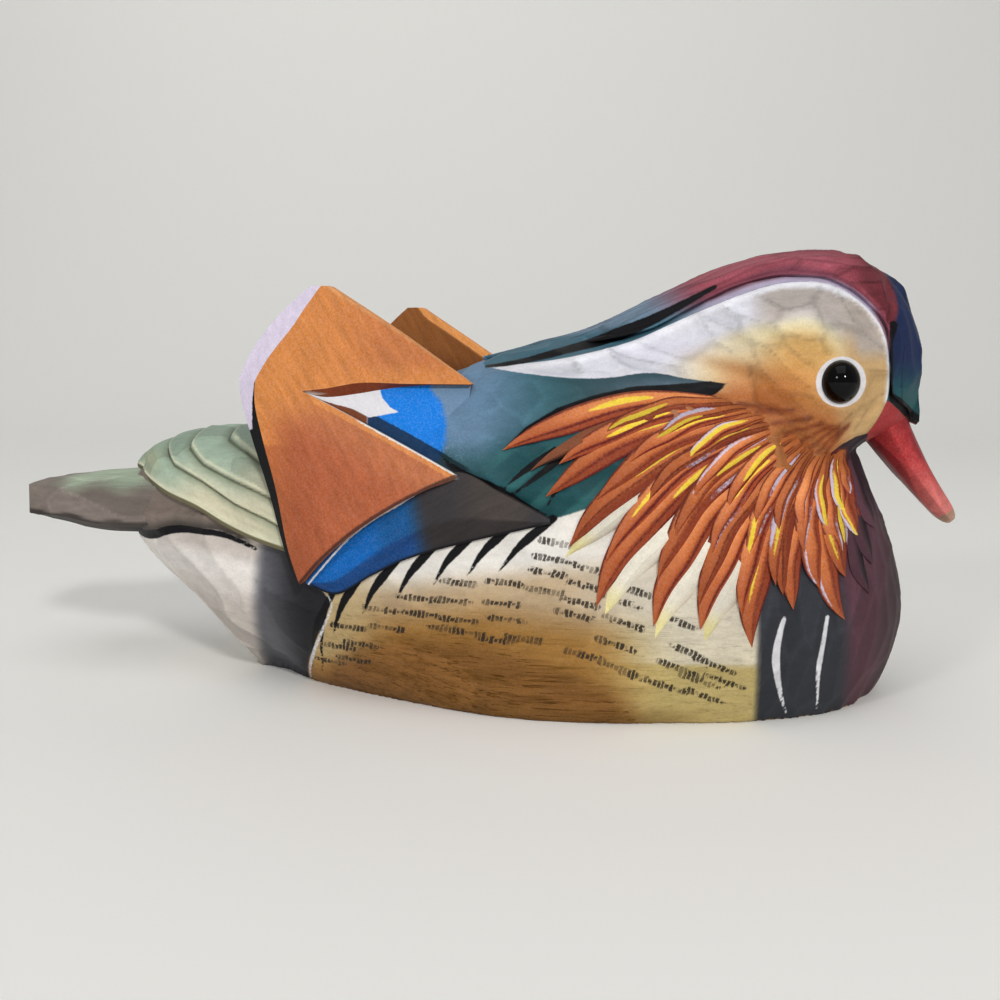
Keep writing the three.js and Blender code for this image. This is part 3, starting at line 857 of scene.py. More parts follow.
class Effects:
    """The effects that several finishes share, each one node group."""

    def __init__(self) -> None:
        """Builds every group once."""
        self.brushed = self._brushed()
        self.worn_and_ridge_lit = self._worn_and_ridge_lit()
        self.grain = self._grain()

    def _brushed(self) -> bpy.types.NodeTree:
        """Thin paint laid on wood with a small brush: streaks, speckle and a soft sheen."""
        group, s, into, out = new_group(
            "brushed_paint",
            {
                "Color": "NodeSocketColor",
                "Place": "NodeSocketVector",
                "Streaks": "NodeSocketVector",
                "Unevenness": "NodeSocketFloat",
                "Speckle": "NodeSocketFloat",
                "Sheen": "NodeSocketFloat",
            },
            {"Color": "NodeSocketColor", "Roughness": "NodeSocketFloat", "Height": "NodeSocketFloat"},
        )
        streaks = s.noise(into.outputs["Streaks"], 1.0, 5, 0.62)
        clouds = s.noise(into.outputs["Place"], 0.16, 2, 0.5)
        speckle = s.noise(into.outputs["Place"], 3.4, 3, 0.75)
        grit = s.noise(into.outputs["Place"], 9.5, 1, 0.6)
        both = s.plus(s.times(streaks, 0.85), s.times(clouds, 0.15))
        lift = s.times(s.minus(both, 0.5), into.outputs["Unevenness"])
        spots = s.plus(s.times(speckle, 0.6), s.times(grit, 0.4))
        spots = s.times(s.minus(spots, 0.5), into.outputs["Speckle"])
        value = s.plus(s.plus(lift, spots), 1.0)
        tone = s.node("ShaderNodeHueSaturation")
        s.feed(tone.inputs["Color"], into.outputs["Color"])
        s.feed(tone.inputs["Value"], value)
        s.feed(tone.inputs["Saturation"], s.step(speckle, 0.3, 0.7, 1.06, 0.94))
        s.feed(out.inputs["Color"], tone.outputs[0])
        rough = s.plus(into.outputs["Sheen"], s.times(s.minus(streaks, 0.5), 0.25))
        s.feed(out.inputs["Roughness"], rough)
        height = s.plus(s.times(streaks, 0.45), s.times(speckle, 0.35))
        s.feed(out.inputs["Height"], s.plus(height, s.times(grit, 0.2)))
        return group

    def _worn_and_ridge_lit(self) -> bpy.types.NodeTree:
        """Each cut a tone of its own and its ridges lighter or darker: partly wear, partly painted light
        and shade.
        """
        group, s, into, out = new_group(
            "worn_and_ridge_lit_cuts",
            {
                "Color": "NodeSocketColor", "Place": "NodeSocketVector", "Edge": "NodeSocketFloat",
                "Tone": "NodeSocketFloat", "Line": "NodeSocketFloat", "Amount": "NodeSocketFloat",
            },
            {"Color": "NodeSocketColor"},
        )
        rub = s.minus(s.noise(into.outputs["Place"], 0.9, 3, 0.6), 0.5)
        ridge = s.step(s.plus(into.outputs["Edge"], s.times(rub, 0.7)), 0.05, 0.5, 1, 0)
        gain = s.times(s.minus(into.outputs["Line"], 1.0), ridge)
        patch = s.times(s.minus(into.outputs["Tone"], 0.5), 0.5)
        both = s.times(s.plus(gain, patch), into.outputs["Amount"])
        tone = s.node("ShaderNodeHueSaturation")
        s.feed(tone.inputs["Color"], into.outputs["Color"])
        s.feed(tone.inputs["Value"], s.plus(both, 1.0))
        s.feed(out.inputs["Color"], tone.outputs[0])
        return group

    def _grain(self) -> bpy.types.NodeTree:
        """Wood grain that shows through thin paint, running along the duck."""
        group, s, into, out = new_group(
            "wood_grain",
            {"Color": "NodeSocketColor", "Place": "NodeSocketVector", "Amount": "NodeSocketFloat"},
            {"Color": "NodeSocketColor", "Height": "NodeSocketFloat"},
        )
        mapping = s.node("ShaderNodeMapping")
        s.feed(mapping.inputs["Vector"], into.outputs["Place"])
        mapping.inputs["Rotation"].default_value = (0, math.radians(6), 0)
        mapping.inputs["Scale"].default_value = (0.06, 0.9, 0.9)
        fibres = s.noise(mapping.outputs[0], 1.6, 6, 0.72)
        bands = s.noise(mapping.outputs[0], 0.35, 2, 0.5)
        thin = s.node("ShaderNodeMapping")
        s.feed(thin.inputs["Vector"], into.outputs["Place"])
        thin.inputs["Rotation"].default_value = (0, math.radians(4), 0)
        thin.inputs["Scale"].default_value = (0.035, 1.0, 1.0)
        lines = s.step(s.noise(thin.outputs[0], 3.0, 4, 0.75), 0.55, 0.63)
        dark = s.plus(s.step(fibres, 0.42, 0.68), s.times(s.step(bands, 0.45, 0.65), 0.5))
        dark = s.plus(dark, s.times(lines, 1.5))
        share = s.math("MULTIPLY", s.math("MULTIPLY", dark, 0.62), into.outputs["Amount"], clamp=True)
        tone = s.node("ShaderNodeHueSaturation")
        s.feed(tone.inputs["Color"], into.outputs["Color"])
        tone.inputs["Value"].default_value = 0.36
        tone.inputs["Saturation"].default_value = 1.15
        s.feed(out.inputs["Color"], s.mix(share, into.outputs["Color"], tone.outputs[0]))
        s.feed(out.inputs["Height"], s.times(fibres, -1.0))
        return group


@dataclass(frozen=True)
class Finish:
    """One painted finish: how its brush strokes lie, and how matt it dries.

    Streaks squeeze the noise along each axis, so the strokes run along the smallest one.
    """

    name: str
    streaks: Vec3 = (0.25, 0.9, 0.9)
    turn: Vec3 = (0, 0, 0)
    unevenness: float = 0.6
    speckle: float = 0.5
    sheen: float = 0.56
    # How strongly cut tones and ridge lines show: partly wear, partly painted highlight and shade.
    wear_and_ridge_light: float = 0.6
    grain: float = 0.0
    bump: float = 0.12

    def made(self, effects: Effects, colour_from: Colouring) -> Material:
        """Builds the finish's material.

        Args:
            effects: The shared effects.
            colour_from: Adds the nodes of the painted colour and returns its output.

        Returns:
            The material.
        """
        material = bpy.data.materials.new(self.name)
        material.use_nodes = True
        material.node_tree.nodes.clear()
        s = Shader(material.node_tree)
        colour = colour_from(s)
        place = s.place()
        worn_and_ridge_lit = s.node("ShaderNodeGroup", node_tree=effects.worn_and_ridge_lit)
        s.feed(worn_and_ridge_lit.inputs["Color"], colour)
        s.feed(worn_and_ridge_lit.inputs["Place"], place)
        for socket, mark in (("Edge", "cut_edge"), ("Tone", "cut_tone"), ("Line", "cut_line")):
            s.feed(worn_and_ridge_lit.inputs[socket], s.mark(mark))
        worn_and_ridge_lit.inputs["Amount"].default_value = self.wear_and_ridge_light
        brushed = s.node("ShaderNodeGroup", node_tree=effects.brushed)
        s.feed(brushed.inputs["Color"], worn_and_ridge_lit.outputs["Color"])
        s.feed(brushed.inputs["Place"], place)
        s.feed(brushed.inputs["Streaks"], s.place(self.streaks, self.turn))
        brushed.inputs["Unevenness"].default_value = self.unevenness
        brushed.inputs["Speckle"].default_value = self.speckle
        brushed.inputs["Sheen"].default_value = self.sheen
        shown, height = brushed.outputs["Color"], brushed.outputs["Height"]
        if self.grain > 0:
            grain = s.node("ShaderNodeGroup", node_tree=effects.grain)
            s.feed(grain.inputs["Color"], shown)
            s.feed(grain.inputs["Place"], place)
            s.feed(grain.inputs["Amount"], s.times(s.mark("bare"), self.grain))
            shown = grain.outputs["Color"]
        bump = s.node("ShaderNodeBump")
        bump.inputs["Strength"].default_value = 0.6
        bump.inputs["Distance"].default_value = self.bump * MM
        s.feed(bump.inputs["Height"], height)
        bsdf = s.node("ShaderNodeBsdfPrincipled")
        bsdf.inputs["Specular IOR Level"].default_value = 0.15
        s.feed(bsdf.inputs["Base Color"], shown)
        s.feed(bsdf.inputs["Roughness"], brushed.outputs["Roughness"])
        s.feed(bsdf.inputs["Normal"], bump.outputs[0])
        s.feed(s.node("ShaderNodeOutputMaterial").inputs["Surface"], bsdf.outputs[0])
        return material


def coat_of(name: str) -> Colouring:
    """A finish's colour taken straight from one stored coat of paint."""
    return lambda s: s.paint(name)


@dataclass(frozen=True)
class HeadAndTrunkPaint:
    """Where each paint lies on the head and the trunk, seen from the side as (x, z)."""

    brow_top: tuple[Point, ...] = (
        (6.2, 48.9), (15.8, 49.9), (21.8, 51.1), (27.3, 52.7), (31.9, 54.7), (36.4, 56.7),
        (41.9, 58.9), (46.8, 60.4), (51.3, 60.7), (54.9, 60), (58.2, 57.9), (60.7, 55.3),
        (62, 52.6), (62.5, 49.8), (62.7, 46.8), (62.5, 44.4),
    )
    brow_foot: tuple[Point, ...] = (
        (6.2, 48.9), (12.9, 48), (19.5, 47.4), (24.6, 47.5), (28.6, 48.1), (31.5, 48), (34.6, 47.4),
        (37.5, 47), (40.3, 46.6),
    )
    chin: tuple[Point, ...] = (
        (62.5, 44.4), (61.9, 42.8), (61.2, 41.2), (60.3, 39.6), (58.6, 39.3), (56.6, 38.2),
        (54, 36.2), (48, 34), (36, 38), (31, 43.2), (34, 43.9), (38.6, 45.2), (40.3, 46.6),
    )
    cap_rear: tuple[Point, ...] = ((6.2, 48.8), (5.4, 49.2), (3, 52), (3, 58))
    cap_front: tuple[Point, ...] = (
        (62.5, 44.4), (63.2, 43.9), (65.1, 42.6), (67.2, 41.2), (69.5, 40.4), (75, 50), (70, 70),
        (3, 70),
    )
    bill_root: tuple[Point, ...] = (
        (62.5, 44.4), (61.9, 42.8), (61.2, 41.2), (60.3, 39.6), (60.9, 38.3), (61.6, 37.4), (62.4, 35),
        (74, 34), (74, 41), (69, 40.6), (67.2, 41.2), (65.1, 42.6), (63.2, 43.9),
    )
    stripe: tuple[Point, ...] = (
        (5.8, 49.0), (10.1, 49.5), (14.9, 50.6), (22.5, 52.8), (28.5, 55.0), (33.4, 57.4),
        (38.6, 60.2),
    )
    stripe_halves: tuple[float, float, float] = (0.2, 0.95, 0.3)
    brow_line: tuple[Point, ...] = ((63.2, 54.6), (62.8, 52.6), (62.9, 49), (62.9, 45))
    # A carved hollow along the top of the ruff, painted black: painted shadow over the ruff's upper
    # edge.
    shadow_crescent: tuple[Point, ...] = (
        (10.5, 38), (13.1, 40.7), (17.4, 43.4), (22.3, 45.1), (27.7, 46.3), (33.6, 46.6), (38, 47),
        (40.6, 46.6),
        (38.6, 45.1), (34, 43.8), (29, 43.3), (24, 42.6), (19, 41), (14.5, 38.8),
    )
    # Black lines between the teal feathers under the ruff: painted shadow, along shallow carved grooves.
    shoulder_shadow_lines: tuple[tuple[Point, ...], ...] = (
        ((10.6, 32.8), (13.8, 35.3), (17.3, 37.9)),
        ((11.6, 31.6), (16.0, 34.9), (20.2, 38.4)),
        ((16.4, 30.0), (17.9, 32.5), (23.2, 38.0)),
    )
    wing_foot: tuple[Point, ...] = (
        (-18.4, 18.7), (-14.4, 17.4), (-8.3, 20.3), (-3.1, 22.9), (5.5, 25.6), (17, 28.4),
    )
    flank_rear: tuple[Point, ...] = (
        (-23.6, -1), (-21.9, 2.6), (-19.3, 7.1), (-16.6, 11.8), (-15.3, 15.6), (-18.4, 18.7),
    )
    flank_front: tuple[Point, ...] = (
        (17, 28.4), (23, 30.4), (33, 33.5), (46, 36), (54, 36), (56.6, 38.4), (58.6, 39.5),
        (60.3, 40.2), (64, 41), (80, 38), (80, -4), (-23.6, -4),
    )
    bar_tops: tuple[Point, ...] = (
        (16.9, 27.9), (11.5, 27), (6.1, 25.6), (0.7, 24), (-5.1, 21.4), (-10, 19.8), (-14.6, 17),
    )
    bar_ends: tuple[Point, ...] = (
        (9.9, 21), (5.5, 20.3), (0.6, 18.7), (-4.8, 16.5), (-10, 13.9), (-14.9, 10.4), (-20.4, 3.4),
    )
    groove: tuple[Point, ...] = ((0.6, 36.9), (4.3, 34.5), (8.9, 32.4), (13.9, 30), (17.2, 28.4))
    # The black line where the tail meets the rump: painted shadow under the tail, along a shallow carved
    # groove.
    under_tail_shadow_line: tuple[Point, ...] = (
        (-56, 23.4), (-50, 22.8), (-46.2, 23.1), (-41.7, 24.3), (-34.4, 24.2), (-30, 23.2),
        (-27.4, 22.3),
    )
    rump_edge: tuple[Point, ...] = (
        (-25.4, 28), (-26.9, 20.8), (-27.6, 14.7), (-30.1, 6.8), (-33.5, -2),
    )
    flank_line: tuple[Point, ...] = ((-15, 16.4), (-16, 13), (-17, 9.5), (-17.7, 6), (-18.8, 3))
    forehead_rear: tuple[Point, ...] = (
        (44, 62), (50, 62.3), (54.2, 63.2), (56.8, 64), (59, 63.9), (61, 63.4), (64, 62), (66, 60),
    )
    forehead_line: tuple[Point, ...] = (
        (62.6, 45.2), (63.4, 45.3), (65.8, 43.9), (69.4, 41.4), (69.4, 40.2), (67.2, 41.1),
        (65.1, 42.6), (62.9, 44.2),
    )
    breast_stripes: tuple[tuple[Point, ...], ...] = (
        ((48.4, 15.4), (47.8, 13), (47.5, 9.4), (48.4, 4.4), (49.5, 1)),
        ((54.4, 15.2), (54, 11.9), (53.5, 7.2), (53.9, 1.1)),
    )
    breast_rear_x: float = 44.9
    breast_maroon_x: float = 57.4
    tick_groups: tuple[Point, ...] = (
        (4.3, 19.4), (10.7, 19.7), (16.3, 18.8), (-2, 16.9), (3.6, 16.8), (-7.3, 14.9),
        (10.4, 16.8), (-1.2, 14.7),
        (4.2, 14.2), (11.2, 14.6), (20.5, 15.6), (26.9, 17.6), (27.1, 14.8), (34.4, 15),
        (-12.3, 11.9), (-6.3, 12.3),
        (2.5, 12.8), (5.6, 12.4), (9.6, 11.6), (13.6, 12), (-10.7, 9.4), (-14.3, 8.6), (26.1, 11.7),
        (35.7, 10.9),
        (39.4, 8.9), (-16.4, 5.6), (-12.2, 6.6), (21.8, 10.1), (26.7, 8.3), (32.9, 5.9),
        (34.2, 8.6), (37.4, 6.7),
        (38.2, 4.4), (18.3, 25.3), (17.2, 23.2), (21.6, 22.2), (16.8, 21.3), (22, 19.6),
        (27.9, 19.4), (21.2, 17.4),
        (40.8, 6.6), (29.4, 6.9),
    )
    wood_zone: tuple[Point, ...] = (
        (-21, -3), (-17.4, 3.1), (-13.4, 7.4), (-8, 10), (-1.3, 11.3), (10.2, 10.4), (18.5, 8),
        (26.7, 4), (30, -3),
    )
    eye: Point = (55.8, 46.9)
    eye_squash: float = 1.0
    eye_ring: float = 3.44

    @staticmethod
    def from_blue(at: Array) -> Array:
        """How far each place lies ahead of the front of the blue patch on the folded wing."""
        x, z = at.T
        return x - np.interp(z, [35.6, 36.6, 38.6, 41.1, 44.1, 45.7], [0.6, 1.3, 1.8, 1.7, 0.7, -0.8])

    def from_eye(self, at: Array) -> Array:
        """How far each place lies from the eye's centre, the oval taken as a circle."""
        return np.hypot((at[:, 0] - self.eye[0]) / self.eye_squash, at[:, 1] - self.eye[1])

    def seen(self, points: Array) -> Array:
        """Each place as the side's (x, z), with the left wing's lead taken off."""
        lead = Wing.LEFT_AHEAD * (points[:, 1] > 0) * fade(8, 30, points[:, 0])
        return np.stack([points[:, 0] - lead, points[:, 2]], axis=1)

    def lower_edge(self, at: Array) -> Array:
        """How deep each place lies in the flank and the breast."""
        outline = np.vstack([through(self.flank_rear), through(self.wing_foot), self.flank_front])
        return depth_inside(outline, at)

    def face_edge(self, at: Array) -> Array:
        """How deep each place lies in the brow and the cheek."""
        outline = np.vstack([through(self.brow_top), self.chin[1:], through(self.brow_foot)[::-1]])
        return depth_inside(outline, at)

    def cap_edge(self, at: Array) -> Array:
        """How deep each place lies in the crest and the band under it."""
        outline = np.vstack([through(self.brow_top), self.cap_front[1:], self.cap_rear[::-1]])
        return depth_inside(outline, at)

    def _coat(self, points: Array, at: Array) -> Array:
        """The shoulder, back and rump, from teal over black to white, with painted shade on the rump and
        under the tail.
        """
        x, z = at.T
        tints = plain(PAINT.teal, len(at))
        tints = wash(tints, PAINT.nape_shade, 0.8 * smoothstep(14, 24, x) * smoothstep(41, 44, z))
        tints = wash(tints, PAINT.slate, 0.9 * fade(5, 19, x) * smoothstep(35, 40, z))
        tints = wash(tints, PAINT.teal_deep, 0.8 * smoothstep(6, 14, x) * fade(37, 42, z))
        tints = wash(tints, PAINT.shoulder_mist, 0.75 * spot(x, z, (33, 46.2), (9, 1.5)))
        fan = np.sin(1.15 * ((z - 30) - 0.9 * (x - 10)))
        low = smoothstep(7, 11, x) * fade(22, 27, x) * fade(37, 40, z)
        tints = wash(tints, PAINT.teal_lit, 0.6 * low * smoothstep(0.1, 0.9, fan))
        back = fade(-14, 0, x) * fade(9, 15, np.abs(points[:, 1]))
        tints = wash(tints, PAINT.back, np.maximum(back, fade(-20, -12, x)) * smoothstep(28, 34, z))
        dark = wash(plain(PAINT.charcoal, len(at)), PAINT.ink, 0.75 * smoothstep(-28, -19, x))
        low = fade(25.5, 27.5, z)
        tints = wash(tints, dark, low * fade(4, 8, x))
        side = distance_to(through(self.rump_edge), at) * np.where(
            x < np.interp(z, [-2, 6.8, 14.7, 20.8, 28], [-33.5, -30.1, -27.6, -26.9, -25.4]), 1, -1
        )
        # The lower rump painted darker: painted shade.
        white = wash(plain(PAINT.rump, len(at)), PAINT.rump_shade, 0.7 * fade(12, 19, z))
        # The top of the white rump painted darker just under the tail: painted shade.
        white = wash(white, PAINT.rump_shade_under_tail, 0.6 * smoothstep(20.5, 23.5, z + 0.12 * (x + 40)))
        tints = wash(tints, white, low * smoothstep(-1.2, 1.4, side))
        # Above that line, under the tail, the trunk is painted grey-brown to black: painted shade under
        # the tail.
        over = z - np.interp(x, *np.array(self.under_tail_shadow_line).T)
        root = wash(plain(PAINT.under_tail_shade, len(at)), PAINT.under_tail_shadow, fade(0.6, 2.4, over))
        return wash(tints, root, smoothstep(0.1, 0.5, over) * fade(-30, -27, x))

    def _lower(self, points: Array, at: Array) -> Array:
        """The flank, from pale to gold and bare brown, and the black and maroon breast."""
        x, z = at.T
        tints = plain(PAINT.gold, len(at))
        tints = wash(tints, PAINT.khaki, smoothstep(20, 34, x))
        tints = wash(tints, PAINT.flank_pale, 0.55 * smoothstep(12.5, 19, z + 0.12 * np.abs(x - 8)))
        tints = wash(tints, PAINT.flank_white, 0.95 * smoothstep(17.5, 21.5, z - 0.14 * (x - 2)))
        tints = wash(tints, PAINT.flank_pale, 0.75 * smoothstep(16, 30, x) * smoothstep(13, 19, z))
        panel = smoothstep(24, 36, x) * smoothstep(8.6, 9.3, z + 0.02 * (x - 40))
        tints = wash(tints, PAINT.flank_panel, 0.85 * panel)
        tints = wash(tints, PAINT.straw, 0.8 * fade(-14, -4, x) * smoothstep(3, 8, z))
        zone = depth_inside(through(self.wood_zone), at)
        tints = wash(tints, PAINT.brown, 0.9 * smoothstep(-2.2, 2.4, zone))
        tints = wash(tints, PAINT.umber, 0.5 * fade(0, 3.4, z) * fade(30, 42, x))
        black = smoothstep(-0.55, 0.55, x - self.breast_rear_x - 0.02 * (15 - z))
        tints = wash(tints, PAINT.breast_black, black)
        lean = 0.16 * np.maximum(z - 14, 0) - 0.05 * (12 - z)
        maroon = smoothstep(-1.2, 1.6, x - self.breast_maroon_x + lean)
        # The breast darker towards its front: painted shade where it turns away from the light.
        breast = wash(plain(PAINT.breast, len(at)), PAINT.breast_front_shade, smoothstep(61, 65.5, x))
        breast = wash(breast, PAINT.throat, smoothstep(24, 34, z))
        tints = wash(tints, breast, maroon)
        under = fade(0.15, 0.5, z) * (np.abs(points[:, 1]) < DuckForm().base_half(x) - 0.3)
        return wash(tints, PAINT.bare_wood, under)

    def _face(self, at: Array) -> Array:
        """The brow and the cheek, from white over cream and sand to orange-brown, with painted shade
        under the crest.
        """
        x, z = at.T
        below = distance_to(through(self.brow_top), at)
        tints = wash(plain(PAINT.brow_rim, len(at)), PAINT.brow, smoothstep(0.6, 1.4, below))
        tints = wash(tints, PAINT.cream, 0.9 * smoothstep(3.6, 6, below) * smoothstep(30, 40, x))
        tints = wash(tints, PAINT.sand, smoothstep(5.4, 8.6, below) * smoothstep(42, 50, x))
        front = smoothstep(54.5, 57.5, x) * fade(56.5, 59, z)
        tints = wash(tints, PAINT.lore, front * smoothstep(0.15, 0.7, below))
        # A grey band below the brow's white rim, under the crest's overhang: painted shade.
        grey = smoothstep(0.6, 1.1, below + 0.4 * smoothstep(55, 58, x))
        grey *= fade(3.6, 6.2, below + 0.4 * np.sin(0.9 * x))
        grey *= smoothstep(42.5, 46.5, x) * smoothstep(49, 52, z)
        tints = wash(tints, PAINT.brow_shade_under_crest, 0.95 * grey)
        lilac = spot(x, z, (33, 51.5), (8, 1.6))
        tints = wash(tints, PAINT.brow_lilac, 0.5 * lilac)
        glow = spot(x, z, (46.5, 45.2), (7.5, 4.4))
        tints = wash(tints, PAINT.cheek, 0.95 * glow)
        streak = spot(x, z + 0.25 * (x - 42), (42, 48.6), (5, 1.1))
        tints = wash(tints, PAINT.cheek_deep, 0.55 * streak)
        root = soft_line(np.maximum(z - 41.5 - 0.28 * (52 - x), 0), 0, 2.6)
        low = np.maximum(smoothstep(38, 42, x), fade(45, 46.6, z))
        tints = wash(tints, PAINT.ruff_root, 0.8 * root * fade(54.5, 58.5, x) * low)
        for feather in Ruff.mains[:8]:
            start, ahead = feather.middle(np.array([0.03, 0.0]))
            reach = ahead + (ahead - start) / np.linalg.norm(ahead - start) * 4.2
            near = distance_to(np.array([start, reach]), at)
            tints = wash(tints, PAINT.feather_line, 0.7 * fade(0.12, 0.5, near))
        return tints

    @staticmethod
    def bed(at: Array) -> Array:
        """How far each place is inside the painted ground under the ruff, from 0 to 1."""
        fan = [feather.middle(np.array([0.62]))[0] for feather in Ruff.mains]
        roots = [feather.middle(np.array([0.0]))[0] for feather in Ruff.mains[::-1]]
        return smoothstep(-0.6, 0.4, depth_inside(np.array(fan + roots), at))

    def _cap(self, at: Array, form: DuckForm) -> Array:
        """The crest, from maroon over teal at the nape, the band under it and the forehead."""
        x, z = at.T
        above = z - form.crest_edge_z(x)
        tints = plain(PAINT.maroon_deep, len(at))
        tints = wash(tints, PAINT.maroon, smoothstep(0.4, 1.4, above + 0.4 * np.sin(0.35 * x)))
        pink = soft_line(above, 2.6, 1.4) * smoothstep(34, 40, x) * fade(52, 58, x)
        tints = wash(tints, PAINT.crest_pink, 0.35 * pink)
        front = smoothstep(56.5, 60, x) * smoothstep(0.6, 1.6, above)
        tints = wash(tints, PAINT.crest_front, 0.85 * front)
        tints = wash(tints, PAINT.plum, fade(-0.6, 0.1, above))
        brow = distance_to(through(self.brow_top), at)
        lilac = fade(0.5, 1.1, brow) * smoothstep(24, 34, x) * fade(59.5, 61.5, x)
        tints = wash(tints, PAINT.crest_lilac, 0.85 * lilac * (above < 0.4))
        teal = wash(plain(PAINT.nape, len(at)), PAINT.nape_mist, 0.85 * smoothstep(0.8, 2.2, above))
        tints = wash(tints, teal, fade(27, 40, x + 0.9 * (z - 58)))
        navy = wash(plain(PAINT.navy, len(at)), PAINT.navy_low, fade(44, 51, z))
        heights, fronts = zip(*self.forehead_rear)
        edge = np.interp(z, heights, fronts)
        return wash(tints, navy, smoothstep(-0.3, 0.3, x - edge))

    def _ink(self, at: Array) -> Array:
        """How deep each place lies in a black line: paint, and painted shadow over the ruff, between the
        shoulder's feathers and under the tail.
        """
        start, full, end = self.stripe_halves
        strokes = [
            Stroke(self.stripe, start, full, end, 0.6),
            Stroke(self.brow_line, 0.75, 0.3, 0.3, 0.25),
            Stroke(self.groove, 0.2, 0.85, 0.25, 0.5),
            Stroke(self.under_tail_shadow_line, 1.1, 0.75, 0.3, 0.3),
            Stroke(self.flank_line, 0.12, 0.32, 0.1, 0.4),
        ]
        strokes += [Stroke(line, 0.12, 0.5, 0.3, 0.6) for line in self.shoulder_shadow_lines]
        for (x0, z0), (x1, z1) in zip(self.bar_tops, self.bar_ends):
            middle = ((x0 + x1) / 2 - 0.5, (z0 + z1) / 2 + 0.35)
            strokes.append(Stroke(((x0 + 0.6, z0 + 0.8), middle, (x1, z1)), 0.5, 0.66, 0.08, 0.4))
        areas = (self.forehead_line, self.shadow_crescent)
        depth = np.maximum(*(depth_inside(np.array(area), at) for area in areas))
        for stroke in strokes:
            depth = np.maximum(depth, stroke.depth(at))
        return depth

    def _chalk(self, at: Array) -> Array:
        """How deep each place lies in a white line."""
        rear_stripe, front_stripe = self.breast_stripes
        stripes = (
            Stroke(rear_stripe, 0.3, 0.55, 0.12, 0.4), Stroke(front_stripe, 0.25, 0.36, 0.1, 0.45),
        )
        rear = through(self.flank_rear)[:-4]
        beside = tuple((float(x) + 0.45, float(z)) for x, z in rear[::3])
        edge = Stroke(beside, 0.12, 0.28, 0.12).depth(at)
        rim = Stroke(tuple((x - 0.15, z) for x, z in self.brow_top[8:]), 0.12, 0.18, 0.1).depth(at)
        ring = self.eye_ring - self.from_eye(at)
        return np.maximum.reduce([*(stripe.depth(at) for stripe in stripes), edge, rim, ring])

    def lay_on(self, piece: Piece, bench: Bench, form: DuckForm) -> None:
        """Stores the paint of a piece: four coats, where each begins, and the drawn lines."""
        points = bench.points_of(piece)
        at = self.seen(points)
        bed = 0.92 * self.bed(at)
        streaks = smoothstep(-0.2, 0.8, np.sin(1.7 * at[:, 0] + 0.9 * at[:, 1]))
        ground = wash(plain(PAINT.ruff_bed, len(at)), PAINT.blood, streaks)
        set_paint(piece, Area.COAT.value, wash(self._coat(points, at), ground, bed))
        set_paint(piece, Area.LOWER.value, wash(self._lower(points, at), ground, bed))
        set_paint(piece, Area.FACE.value, self._face(at))
        set_paint(piece, Area.CAP.value, self._cap(at, form))
        set_mark(piece, "lower_edge", self.lower_edge(at))
        set_mark(piece, "face_edge", self.face_edge(at))
        set_mark(piece, "cap_edge", self.cap_edge(at))
        set_mark(piece, "bill_edge", depth_inside(np.array(self.bill_root), at))
        set_mark(piece, "ink", self._ink(at))
        set_mark(piece, "chalk", self._chalk(at))
        on_wing = (at[:, 0] > -12) & (at[:, 0] < 8) & (at[:, 1] > 33) & (at[:, 1] < 47.4)
        set_mark(piece, "from_blue", np.where(on_wing, self.from_blue(at), 9))
        set_mark(piece, "above_sill", Wing.above_sill(*at.T))
        rows = np.full(len(at), 9.0)
        for x, z in self.tick_groups:
            fall = 0.05 + 0.35 * float(smoothstep(8, 34, x))
            reach = np.array((2.5, -2.5 * fall))
            rows = np.minimum(rows, distance_to(np.array([(x, z) - reach, (x, z) + reach]), at))
        set_mark(piece, "tick_row", np.minimum(rows, 4))
        zone = smoothstep(-2.5, 1.5, depth_inside(through(self.wood_zone), at))
        flank = (at[:, 0] < self.breast_rear_x) & (at[:, 0] > -23)
        gentle = 0.4 * flank * fade(13, 20, at[:, 1])
        set_mark(piece, "bare", np.maximum(zone * flank, np.maximum(gentle, points[:, 2] < 0.12)))

    def colour(self, s: Shader) -> Socket:
        """The shader nodes that lay the coats over each other and draw the lines."""
        place = s.place()
        waver = s.fuzz(1.1, 3, 0.6)
        fuzz = s.fuzz(5.0, 2, 0.7)

        def inside(mark: str, soft: float, uneven: float) -> Socket:
            """A share that is 1 inside a marked outline, with a hand-painted edge."""
            wobble = s.plus(s.times(waver, uneven), s.times(fuzz, uneven * 0.6))
            return s.step(s.plus(s.mark(mark), wobble), -soft, soft)

        colour = speckled_slate(s, s.paint(Area.COAT.value))
        colour = blue_patch(s, colour)
        colour = s.mix(inside("lower_edge", 0.16, 0.3), colour, s.paint(Area.LOWER.value))
        colour = s.mix(inside("face_edge", 0.1, 0.22), colour, s.paint(Area.FACE.value))
        colour = s.mix(inside("cap_edge", 0.1, 0.16), colour, s.paint(Area.CAP.value))
        colour = s.mix(inside("bill_edge", 0.1, 0.2), colour, rgba(PAINT.bill))
        colour = s.mix(self._ticks(s, place, waver, fuzz), colour, rgba(PAINT.tick))
        colour = s.mix(inside("ink", 0.1, 0.22), colour, rgba(PAINT.ink))
        return s.mix(s.times(inside("chalk", 0.1, 0.16), 0.92), colour, rgba(PAINT.white))

